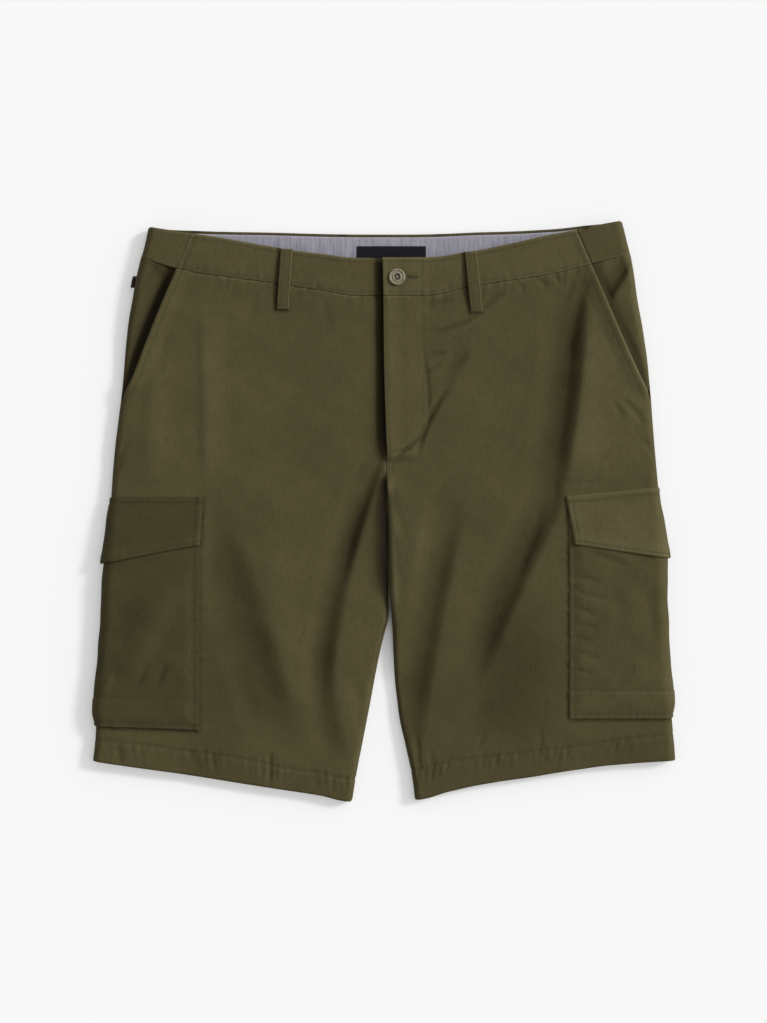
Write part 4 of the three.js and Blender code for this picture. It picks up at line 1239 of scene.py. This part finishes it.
def band_cloth(side, along, y):
    """Outer side of the front waistband: skin + normal * (fly lap + relief)."""
    point, normal = skin(side, "front", along, y)
    x = point[..., 0]
    offs = seam_offs(side, "front", along, x, y)
    offs["fly_row"] = x
    relief = sewn("band", offs, x, y, SEEDS["band"]) + swells(x, y, 0.2)
    relief += sewn(f"band_{side}", offs, x, y)
    slit = 0
    if side == "right":
        relief += groove(x - UNDER_FLY["x"], UNDER_FLY["depth"], UNDER_FLY["band_reach"])
    else:
        past = np.maximum(np.abs(x - BUTTONHOLE["x"]) - BUTTONHOLE["half"], 0)
        slit = groove(np.hypot(past, y - BUTTONHOLE["y"]), BUTTONHOLE["depth"], 1)
        relief += FLY_RISE * ease(FLY_EDGE, -2, x) + slit
    stand = FLY_LIFT * fly_lap(side, x, y) + relief
    painted_shade = relief + SLIT_SHADE * slit + hollow_shade(side, x, y, offs)
    painted_shade += BAND_SHADE * sewn_shade(offs["top"] - BAND_ROWS["top"], offs["seam"] - BAND_ROWS["seam"])
    return raised(point, normal, stand, painted_shade)


def make_front_band(side):
    """Front waistband from the slanted pocket to the centre."""
    def columns_at(y):
        """Those of the front, a little inside its slanted edge."""
        stops = front_stops(side, y)
        return [stops[0] + HAIR, *stops[1:]]

    along, y = lattice(side, "front", "band", columns_at,
                       lambda x: [waist_seam(x) + SEAM / 2, band_top(x)])
    outer, normal, painted_shade = band_cloth(side, along, y)
    offs = seam_offs(side, "front", along, outer[..., 0], y)
    wear = edge_mark(*(offs[edge] for edge in ("top", "seam", "slant", "centre")))
    cloth_piece(f"waistband_cloth_{side}", f"waistband_front_{side}", outer, normal, BAND_CLOTH,
                cloth_uv(side, along, y, 7), wear, painted_shade, PIECE_LIGHT["waistband"][side])


def back_band_cloth(side, face, along, y):
    """Outer side of the back waistband: it lies on the front beside the slants, then turns under."""
    point, normal = skin(side, face, along, y)
    x = point[..., 0]
    offs = seam_offs(side, face, along, x, y)
    relief = sewn("band", offs, x, y, SEEDS["back_band"])
    if face == "front":
        relief += round_edge(-offs["slant"], 0.5)
    return raised(point, normal, relief, relief)


def make_back_band():
    """Back waistband: one strip from slant to slant, round both sides and across the back."""
    halves = []
    for side in SIGN:
        over = lattice(side, "front", "band_over", lambda y: [slant_start(side, y), ROLL_LENGTH, 0],
                       lambda x: [waist_seam(x) + SEAM / 2, band_top(x)])
        below = lattice(side, "back", "band_under", lambda y: back_stops(side, y),
                        lambda x: [back_seam(x) + SEAM / 2, back_top(x)])
        grids = zip((*back_band_cloth(side, "front", *over), cloth_uv(side, *over)),
                    (*back_band_cloth(side, "back", *below), cloth_uv(side, -below[0], below[1])))
        halves.append([np.concatenate([front, back[:, 1:-1]], 1) for front, back in grids])
    outer, normal, painted_shade, uv = (
        np.concatenate([right, left[:, ::-1]], 1) for right, left in zip(*halves))
    share = np.linspace(0, 1, outer.shape[0])[:, None] * np.ones(outer.shape[:2])
    wear = edge_mark(share * 30, (1 - share) * 30)
    for loop_x in BACK_LOOPS:
        # Painted shade at the band's top where each back loop is sewn in; the wear mark is weaker
        # there
        back_loop_shade = groove(outer[..., 0] - loop_x, 1, BACK_LOOP_SHADE["reach"]) * ease(BACK_LOOP_SHADE["start"], 1, share)
        painted_shade = painted_shade + BACK_LOOP_SHADE["shade"] * back_loop_shade
        wear = wear * (1 + back_loop_shade)
    cloth_piece("waistband_cloth_back", "waistband_back", outer, normal, BAND_CLOTH, uv, wear, painted_shade)


def inside_cloth(x, y, depth):
    """Inner side of the back waistband moved inwards by depth."""
    right, left = (skin(side, "back", along_at(side, x, y), y) for side in SIGN)
    shown = (x < 0)[..., None]
    point, normal = (np.where(shown, one, other) for one, other in zip(right, left))
    relief = swells(x * 1.4, y, 0.2) + sewn("inside", {"top": back_top(x) - y}, x, y)
    return raised(point, normal, relief * 0.5 - depth, relief)


def crossed(kind, down, across):
    """Grids of values down the rows and across the columns, for the lines of a kind of piece."""
    rows, columns = LINES[kind]
    return np.broadcast_arrays(steps(*down, rows)[:, None], steps(*across, columns)[None])


def make_inside(node, finish, place, top, depth, cloth):
    """Flat piece inside the back waistband, between a foot line and a top line."""
    kind = SLOTS[finish.name]
    share, x = crossed(kind, (0, 1), (place["from"], place["to"]))
    y = mix(place["foot"], top(x), share)
    outer, normal, painted_shade = inside_cloth(x, y, depth)
    wear = edge_mark(y - place["foot"], top(x) - y, x - place["from"], place["to"] - x)
    cloth_piece(f"{kind}_cloth", node, outer, normal, cloth, np.stack([x, y], -1), wear, painted_shade,
                finish=finish)


def pocket_foot(side, along, border):
    """Foot line of a cargo pocket: from its inner corner to the side edge."""
    cargo = CARGO[side]
    return mix(cargo["foot_side"], cargo["foot"], np.minimum(np.abs(along) / border, 1))


def pocket_stand(side, along, y, border):
    """How far a cargo pocket stands off the leg: flat at its sewn edges, full between."""
    from_edge = np.minimum(border - np.abs(along), y - pocket_foot(side, along, border))
    bulge = CARGO_BULGE * ease(0, 3 * CARGO_EDGE, from_edge) * ease(2, -44, y)
    beneath = ease(0, -ROLL_LENGTH, along)
    mouth = ease(CARGO[side]["flap_top"], CARGO_MOUTH - 2, y)
    return mix(CLOTH + SEAM + bulge, CARGO_PAD, beneath) * mouth


def cargo_columns(side, y, x):
    """Columns round the leg, from the inner border in front to the one underneath."""
    border = along_at(side, x, y)
    stops = [border, border - CARGO_EDGE, ROLL_LENGTH, 0, -ROLL_LENGTH, CARGO_EDGE - border, -border]
    stretch, share = places(CELLS["pocket"][0])
    shape = (y.shape[0], share.size)
    return between(stops, stretch[None], share[None], shape), border


def pocket_cloth(side, along, y, border):
    """Outer side of a cargo pocket: skin + normal * (stand + relief)."""
    point, normal = ring_skin(side, along, y)
    x = point[..., 0]
    above = ease(-ROLL_LENGTH, 0, along)
    edge, foot = border - along, y - pocket_foot(side, along, border)
    relief = CREASE_DEPTH * creases(POCKET_CREASES[side], x, y) * ease(0, 10, edge) * ease(0, 12, foot)
    relief += swells(x + 40, y, 0.4) * ease(0, 16, edge) + swells(x, y, 0.15)
    relief += sewn("pocket", {"edge": edge, "foot": foot}, x, y, SEEDS["pocket"][side])
    relief = (relief + 0.45 * ease(30, 26, foot)) * above + round_edges(1.2, edge, foot)
    rows = (edge - POCKET_ROWS["edge"], edge - 1.9, foot - POCKET_ROWS["foot"],
            foot - POCKET_ROWS["band"])
    painted_shade = relief + sewn_shade(*rows) * above
    return raised(point, normal, pocket_stand(side, along, y, border) + relief, painted_shade)


def make_pocket(side):
    """Cargo pocket, sewn round the side of the leg, with a stitched band at its foot."""
    cargo = CARGO[side]
    stretch, share = places(CELLS["pocket"][1])
    share = mix(np.array(POCKET_STOPS[:-1])[stretch], np.array(POCKET_STOPS[1:])[stretch], share)
    share = share[:, None]
    along, border = cargo_columns(side, mix(CARGO_MOUTH, cargo["foot"], share), cargo["pocket_x"])
    lowest = pocket_foot(side, along, border)
    y = mix(CARGO_MOUTH, lowest, share)
    outer, normal, painted_shade = pocket_cloth(side, along, y, border)
    wear = edge_mark(border - along, y - lowest) + 0.4 * edge_mark(y - lowest - 26.5)
    cloth_piece(f"cargo_pocket_cloth_{side}", f"cargo_pocket_{side}", outer, normal, CLOTH,
                cloth_uv(side, along, y, 3, 11), wear, painted_shade, PIECE_LIGHT["cargo_pocket"][side])


def flap_place(side, share, inwards):
    """Place of a flap's point: share down the flap and inwards from the side to its border."""
    cargo = CARGO[side]
    inner, outer = (np.interp(share, (0, FLAP_FOLD, 1), (top, CARGO_MOUTH + CARGO_COVER, foot))
                    for top, foot in ((cargo["flap_top"], cargo["flap_foot"]),
                                      (cargo["flap_top_side"], cargo["flap_point"])))
    way = (cargo["flap_top"] - inner) / (cargo["flap_top"] - cargo["flap_foot"])
    border = along_at(side, mix(cargo["flap_x"], cargo["flap_foot_x"], way), inner)
    return inwards * border, mix(outer, inner, np.abs(inwards)), border


def flap_cloth(side, share, inwards):
    """Outer side of a flap: skin + normal * (pocket under it + its own stand + relief)."""
    cargo = CARGO[side]
    along, y, border = flap_place(side, share, inwards)
    point, normal = ring_skin(side, along, y)
    x = point[..., 0]
    beneath = ease(0, -ROLL_LENGTH, along)
    offs = {
        "top": mix(cargo["flap_top_side"], cargo["flap_top"], np.abs(inwards)) - y,
        "foot": y - mix(cargo["flap_point"], cargo["flap_foot"], np.abs(inwards)),
        "edge": border - along,
    }
    relief = sewn("flap", offs, x, y, SEEDS["flap"][side]) + swells(x, y, 0.3)
    relief += 1.3 * ease(16, 0, offs["foot"]) + 0.8 * ease(12, 0, offs["edge"])
    relief = relief * (1 - beneath) + round_edges(1.2, *offs.values())
    pocket = pocket_stand(side, along, y, along_at(side, cargo["pocket_x"], y) + FLAP_REACH)
    stand = pocket + mix(CLOTH + SEAM, FLAP_PAD, beneath) + relief
    rows = sewn_shade(*(offs[edge] - inside for edge, inside in FLAP_ROWS.items()))
    return *raised(point, normal, stand, relief + rows * (1 - beneath)), along, y


def make_flap(side):
    """Cargo flap over the mouth of the pocket, pointed towards the side."""
    across, down = CELLS["flap"]
    stretch, share = places(down)
    inwards = mix(1, -1, places(across)[1])
    share = mix(np.array((0, FLAP_FOLD))[stretch], np.array((FLAP_FOLD, 1))[stretch], share)
    share, inwards = np.broadcast_arrays(share[:, None], inwards[None])
    outer, normal, painted_shade, along, y = flap_cloth(side, share, inwards)
    wear = edge_mark(share * 60, (1 - share) * 60, (1 - inwards) * 90)
    cloth_piece(f"cargo_flap_cloth_{side}", f"cargo_flap_{side}", outer, normal, CLOTH,
                cloth_uv(side, along, y, 17, 5), wear, painted_shade, PIECE_LIGHT["cargo_flap"][side])


def loop_cloth(face, line, share, across):
    """Belt loop: stands off the waistband, most in its middle, with folded rounded edges."""
    top_x, foot_x, top_y, bulge = line
    side = "right" if top_x < 0 else "left"
    y = top_y - LOOP_LENGTH * share
    x = mix(top_x, foot_x, share) + LOOP_WIDTH * across
    point, normal = skin(side, face, along_at(side, x, y), y)
    edge = LOOP_WIDTH * (0.5 - np.abs(across))
    end = LOOP_LENGTH * np.minimum(share, 1 - share)
    relief = sewn("loop", {"edge": edge, "end": end}, x, y)
    if face == "front":
        relief += sewn("front_loop", {"edge": edge}, x, y)
    stand = LOOP_CLOTH + SEAM + bulge * np.sin(np.pi * share) + relief
    return *raised(point, normal, stand, relief), edge, end


def make_loop(node, face, line):
    """Belt loop: the front ones lie on the waistband, the back ones under it on the floor."""
    share, across = crossed("loop", (0, 1), (-0.5, 0.5))
    outer, normal, painted_shade, edge, end = loop_cloth(face, line, share, across)
    uv = np.stack([across * LOOP_WIDTH + 3, share * LOOP_LENGTH], -1)
    cloth_piece(f"{node}_cloth", node, outer, normal, LOOP_CLOTH, uv, 0.8 * edge_mark(edge, end), painted_shade)


def stitches(name, lines, pitch=STITCH["pitch"]):
    """Stitches along lines on the cloth: each is a small spindle of five sides, tips sunk in."""
    starts, ends, ups = [], [], []
    for point, normal in lines:
        run = np.concatenate([[0], np.cumsum(np.linalg.norm(np.diff(point, axis=0), axis=1))])
        count = max(int(run[-1] / pitch), 1)
        begin = (np.arange(count) + 0.1) * run[-1] / count
        finish_at = begin + STITCH["length"] * run[-1] / count / pitch
        for place, kept in ((begin, starts), (finish_at, ends)):
            kept.append(np.stack([np.interp(place, run, point[:, k]) for k in range(3)], -1))
        ups.append(np.stack([np.interp(begin, run, normal[:, k]) for k in range(3)], -1))
    start, end, up = (np.concatenate(kept) for kept in (starts, ends, ups))
    lead = end - start
    lead = lead / np.linalg.norm(lead, axis=1, keepdims=True)
    aside = np.cross(up, lead)
    share, girth, rise = np.array(SPINDLE).T
    turn = TURN * np.arange(ROUND) / ROUND
    spine = mix(start[:, None], end[:, None], share[None, :, None]) + up[:, None] * rise[:, None]
    ring = (aside[:, None, None] * np.cos(turn)[None, None, :, None]
            + up[:, None, None] * np.sin(turn)[None, None, :, None])
    body = spine[:, 1:4, None] + ring * (girth * STITCH["radius"])[None, 1:4, None, None]
    points = np.concatenate([spine[:, :1], body.reshape(len(start), -1, 3), spine[:, 4:]], 1)
    last = 3 * ROUND + 1
    beside = [(a, (a + 1) % ROUND) for a in range(ROUND)]
    fans = [(0, 1 + b, 1 + a) for a, b in beside]
    fans += [(last, 1 + 2 * ROUND + a, 1 + 2 * ROUND + b) for a, b in beside]
    sides = [(1 + ROUND * k + a, 1 + ROUND * k + b, 1 + ROUND * (k + 1) + b, 1 + ROUND * (k + 1) + a)
             for k in range(2) for a, b in beside]
    offsets = np.arange(len(start))[:, None, None] * (last + 1)
    faces = [(np.array(shape)[None] + offsets).reshape(-1, len(shape[0])).tolist()
             for shape in (fans, sides)]
    piece = mesh_object(name, points.reshape(-1, 3), faces[0] + faces[1], olive_thread)
    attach(piece, "root")


def line_on(cloth, side, x, y):
    """Line on a cloth through places (x, y)."""
    x, y = np.broadcast_arrays(np.asarray(x, float), np.asarray(y, float))
    return cloth(side, along_at(side, x, y), y)[:2]


def steps(start, end, count=160):
    """Evenly spaced values from start to end."""
    return np.linspace(start, end, count)


def sunk(line, depth):
    """The same line moved into the cloth by depth."""
    point, normal = line
    return point - normal * depth, normal


def sew_fronts():
    """Rows on the fronts: hems, slanted edges, fly and centre seam."""
    lines = []
    for side, sign in SIGN.items():
        x = sign * steps(abs(side_edge[side](HEM_LEVEL)) - 4, 36 if side == "left" else 30)
        lines.append(line_on(front_cloth, side, x, hem_stitch(x) - 0.2))
        y = steps(waist_seam(slant[side](226)) - 3, SLANT_END + 6)
        lines.append(front_cloth(side, slant_start(side, y) + SLANT_ROW, y)[:2])
    lines.append(line_on(front_cloth, "left", *fly_path))
    for x in CENTRE_ROWS:
        lines.append(line_on(front_cloth, "left", x, steps(53, 31, 40)))
    stitches("sewing_fronts", lines)


def sew_backs():
    """Rows on the back hems."""
    lines = []
    for side, sign in SIGN.items():
        x = sign * steps(abs(side_edge[side](HEM_LEVEL)) - 6, 38)
        y = hem_stitch(x) - 0.2
        lines.append(sunk(skin(side, "back", along_at(side, x, y), y), 0.5))
    stitches("sewing_backs", lines)


def sew_bands():
    """Rows on the waistbands, the fly's upright line and the back band's upper edge."""
    lines = []
    for side, sign in SIGN.items():
        x = steps(*BAND_SPAN[side])
        lines.append(line_on(band_cloth, side, x, band_top(x) - BAND_ROWS["top"]))
        lines.append(line_on(band_cloth, side, x, waist_seam(x) + BAND_ROWS["seam"]))
        y = steps(waist_seam(slant[side](236)) + 4, band_top(slant[side](262)) - 3, 40)
        lines.append(band_cloth(side, slant_start(side, y) + BAND_ROWS["slant"], y)[:2])
        x = steps(sign * 226, sign * 193, 40)
        for y in (band_top(x) - BAND_ROWS["top"], waist_seam(x) + BAND_ROWS["seam"]):
            lines.append(back_band_cloth(side, "front", along_at(side, x, y), y)[:2])
    lines.append(line_on(band_cloth, "left", BAND_ROWS["fly_x"], steps(238, 205, 40)))
    for side, sign in SIGN.items():
        x = steps(sign * 205, 0)
        for y in (back_top(x) - 3.6, back_seam(x) + BAND_ROWS["seam"]):
            lines.append(back_band_cloth(side, "back", along_at(side, x, y), y)[:2])
        y = back_top(x) - 1.7
        point, normal = back_band_cloth(side, "back", along_at(side, x, y), y)[:2]
        lines.append((point - normal * (BAND_CLOTH + 0.05), -normal))
    stitches("sewing_waistband", lines)


def sew_pockets():
    """Rows on the cargo pockets and flaps."""
    lines = []
    for side in SIGN:
        cargo = CARGO[side]
        y = steps(CARGO_MOUTH - 30, cargo["foot"] + 5)
        border = along_at(side, cargo["pocket_x"], y)
        for inset in (POCKET_ROWS["rim"], POCKET_ROWS["edge"]):
            lines.append(pocket_cloth(side, border - inset, y, border)[:2])
        inwards = steps(0.95, 0.02)
        for lift in (POCKET_ROWS["rim"], POCKET_ROWS["foot"], POCKET_ROWS["band"]):
            border = along_at(side, cargo["pocket_x"], np.full(inwards.shape, cargo["foot"] + lift))
            y = mix(cargo["foot_side"], cargo["foot"], inwards) + lift
            lines.append(pocket_cloth(side, border * inwards, y, border)[:2])
        inwards = steps(0.97, 0.02)
        for share in FLAP_SEWN:
            lines.append(flap_cloth(side, np.full(inwards.shape, share), inwards)[:2])
        share = steps(0.14, 0.92)
        lines.append(flap_cloth(side, share, np.full(share.shape, 0.94))[:2])
    stitches("sewing_pockets", lines)


LOOPS = {f"belt_loop_front_{side}": ("front", (*loop.values(), LOOP_BULGE))
         for side, loop in FRONT_LOOPS.items()}
for k, loop_x in enumerate(BACK_LOOPS):
    LOOPS[f"belt_loop_back_{k + 1}"] = ("back", (loop_x, loop_x, back_top(loop_x) - 1.5, 0))
    SHEETS[f"belt_loop_back_{k + 1}"] = ((0.0125, 0.060), [])


def sew_loops():
    """Two rows along each belt loop and bars at its ends; those underneath stay off the floor."""
    lines = []
    for face, line in LOOPS.values():
        share = steps(0.07, 0.93, 60)
        inset = 0.5 - LOOP_ROWS["edge"] / LOOP_WIDTH
        places_on = [(share, np.full(share.shape, edge * inset)) for edge in (-1, 1)]
        across = steps(-0.42, 0.42, 20)
        ends = np.array((LOOP_ROWS["end"], LOOP_ROWS["bar"])) / LOOP_LENGTH
        places_on += [(np.full(across.shape, end), across) for end in (*ends, *(1 - ends))]
        depth = LOOP_ROWS["sunk"] if face == "back" else 0
        lines += [sunk(loop_cloth(face, line, *place)[:2], depth) for place in places_on]
    stitches("sewing_loops", lines)


def sew_buttonhole():
    """Close bars round the buttonhole, across its edge."""
    lines = []
    reach = np.array(BUTTONHOLE["reach"])
    for turn in steps(0, TURN, 60)[:-1]:
        end_x = BUTTONHOLE["x"] + BUTTONHOLE["half"] * (1 if np.cos(turn) > 0 else -1)
        lines.append(line_on(band_cloth, "left", end_x + reach * np.cos(turn),
                             BUTTONHOLE["y"] + reach * np.sin(turn)))
    for x in np.arange(22.2, 31.0, 0.55):
        for edge in (-1, 1):
            lines.append(line_on(band_cloth, "left", x, BUTTONHOLE["y"] + edge * reach))
    stitches("sewing_buttonhole", lines, pitch=1.4)


def make_button():
    """Button turned round its axis: (radius, height) profile with rim, groove, ring and recess."""
    radius, x, y = BUTTON["radius"], BUTTON["x"], BUTTON["y"]
    profile = np.array(BUTTON_PROFILE) * (radius, BUTTON["thick"])
    count = 72
    turn = TURN * np.arange(count) / count
    ring = profile[1:-1]
    seat = skin("left", "front", along_at("left", x, y), y)[0][2] + FLY_LIFT + SEAM
    points = np.stack([x + ring[:, None, 0] * np.cos(turn), y + ring[:, None, 0] * np.sin(turn),
                       seat + ring[:, None, 1] * np.ones(count)], -1).reshape(-1, 3)
    poles = np.array([(x, y, seat + profile[k, 1]) for k in (0, -1)])
    points = np.concatenate([points, poles])
    around = np.arange(count)
    beside = (around + 1) % count
    faces = []
    for k in range(len(ring) - 1):
        low, high = k * count, (k + 1) * count
        faces += np.stack([low + around, low + beside, high + beside, high + around], -1).tolist()
    bottom, top = len(points) - 2, len(points) - 1
    last = (len(ring) - 1) * count
    faces += np.stack([np.full(count, bottom), beside, around], -1).tolist()
    faces += np.stack([np.full(count, top), last + around, last + beside], -1).tolist()
    # Painted shade in the recess round the button's middle, kept as a mark on its points
    deep_shade = np.repeat(window(ring[:, 0] / radius, 0.1, 0.2, 0.3, 0.45), count)
    painted_shade = np.concatenate([deep_shade, (0, 0)])
    piece = mesh_object("button_horn", points, faces, beige_horn, None, {"painted_shade": painted_shade})
    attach(piece, "root")
    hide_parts("button")


def make_tab():
    """Side tab: a small folded strip standing out of the side seam."""
    share, across = crossed("tab", (0, 1), (0, 1))
    y = TAB["y"] + TAB["tall"] * (across - 0.5)
    x = side_edge["right"](y) + 0.5 - (TAB["reach"] + 0.8) * share
    edge = TAB["tall"] * np.minimum(across, 1 - across)
    swell = TAB["thick"] / 2 * np.sqrt(1 - (share * 0.98) ** 2) + round_edge(edge, 0.4) * 0.5
    outer = np.stack([x, y, SIDE_MIDDLE + swell], -1)
    normal = np.zeros(outer.shape) + (0, 0, 1)
    wear = 0.3 * edge_mark(edge, TAB["reach"] * (1 - share))
    cloth_piece("side_tab_cloth", "side_tab", outer, normal, 2 * swell, np.stack([x, y], -1), wear,
                np.zeros(x.shape), finish=tab_cloth)


for half in SIGN:
    make_front(half)
    make_back(half)
    make_facing(half)
    make_front_band(half)
    make_pocket(half)
    make_flap(half)
make_back_band()
make_inside("waistband_lining", chambray_lining, LINING, lambda x: back_top(x) - LINING["edge"],
            BAND_CLOTH + SEAM, LINING_CLOTH)
make_inside("label", plain_label, LABEL, lambda x: LABEL["top"] + 0 * x,
            BAND_CLOTH + LINING_CLOTH + 2 * SEAM, LABEL_CLOTH)
for loop_name, (loop_face, loop_line) in LOOPS.items():
    make_loop(loop_name, loop_face, loop_line)
make_button()
make_tab()
sew_fronts()
sew_backs()
sew_bands()
sew_pockets()
sew_loops()
sew_buttonhole()


# Camera: its lens and sensor, the height of the picture, the level it is measured at, and its x
VIEW = {"lens": 85, "sensor": 36, "height": 972.0, "level": 6.5, "x": -0.475}
# Suns: name, strength, spread and height over the floor, both from the same side
SUNS = (("key", 1.92, 11, 33), ("soft_key", 1.5, 80, 40))
SUN_TURN = np.radians(24)
# Where the floor's painted glow is cut off between the legs, so the gap stays dark: half its width,
# its lower and upper ends, each with how fast it fades
BETWEEN_LEGS = ((0.05, 60.0), (0.165, 14.0), (0.12, 20.0))
FLOOR = 4000
SKY = 0.355


def make_studio():
    """Camera straight above, a wide pale floor, even light and a soft key from the upper right; the
    floor also glows as painted light that lightens the shadows on it.
    """
    scene = bpy.context.scene
    camera = bpy.data.objects.new("camera", bpy.data.cameras.new("camera"))
    camera.data.lens, camera.data.sensor_width = VIEW["lens"], VIEW["sensor"]
    distance = VIEW["height"] * VIEW["lens"] / VIEW["sensor"]
    camera.location = (VIEW["x"] * MM, 0, (distance + VIEW["level"]) * MM)
    camera.data.clip_end = 50
    scene.collection.objects.link(camera)
    scene.camera = camera

    floor_finish, wires = start_finish("pale_floor")
    place = wires.node("ShaderNodeTexCoord", output=3)
    grain = wires.noise(place, 500.0, 2.0)
    paint = wires.tint(colour(201, 201, 201), colour(205, 205, 205), grain + 0.5)
    parts = wires.node("ShaderNodeSeparateXYZ", None, {"Vector": place})
    level = Wire(wires.tree, parts.socket.node.outputs[1])
    aside = wires.maths("ABSOLUTE", parts)
    between_legs = 1
    for (edge, fade), off in zip(BETWEEN_LEGS, (0.0 - aside, level, 0.0 - level)):
        between_legs = ((off + edge) * fade).within() * between_legs
    # Painted light: the floor glows to lighten the shadows on it, except between the legs
    painted_glow = wires.tint(colour(255, 255, 255), colour(0, 0, 0), between_legs)
    close_finish(wires, paint, 0.9 + grain * 0.05, grain * 0.01,
                 {"Specular IOR Level": 0.0, "Emission Color": painted_glow, "Emission Strength": 0.35})
    corners = FLOOR * np.array([(-1, -1, 0), (1, -1, 0), (1, 1, 0), (-1, 1, 0)], float)
    floor = mesh_object("floor", corners, [[0, 1, 2, 3]], floor_finish)

    world = bpy.data.worlds.new("studio")
    world.use_nodes = True
    world.node_tree.nodes["Background"].inputs["Color"].default_value = (1, 1, 1, 1)
    world.node_tree.nodes["Background"].inputs["Strength"].default_value = SKY
    scene.world = world
    for name, energy, spread, height in SUNS:
        sun = bpy.data.objects.new(name, bpy.data.lights.new(name, "SUN"))
        sun.data.energy, sun.data.angle = energy, np.radians(spread)
        sun.rotation_mode = "QUATERNION"
        height = np.radians(height)
        ahead = (np.cos(height) * np.cos(SUN_TURN), np.cos(height) * np.sin(SUN_TURN), np.sin(height))
        sun.rotation_quaternion = Vector(ahead).to_track_quat("Z", "Y")
        scene.collection.objects.link(sun)
    scene.view_settings.view_transform = "Standard"


make_studio()
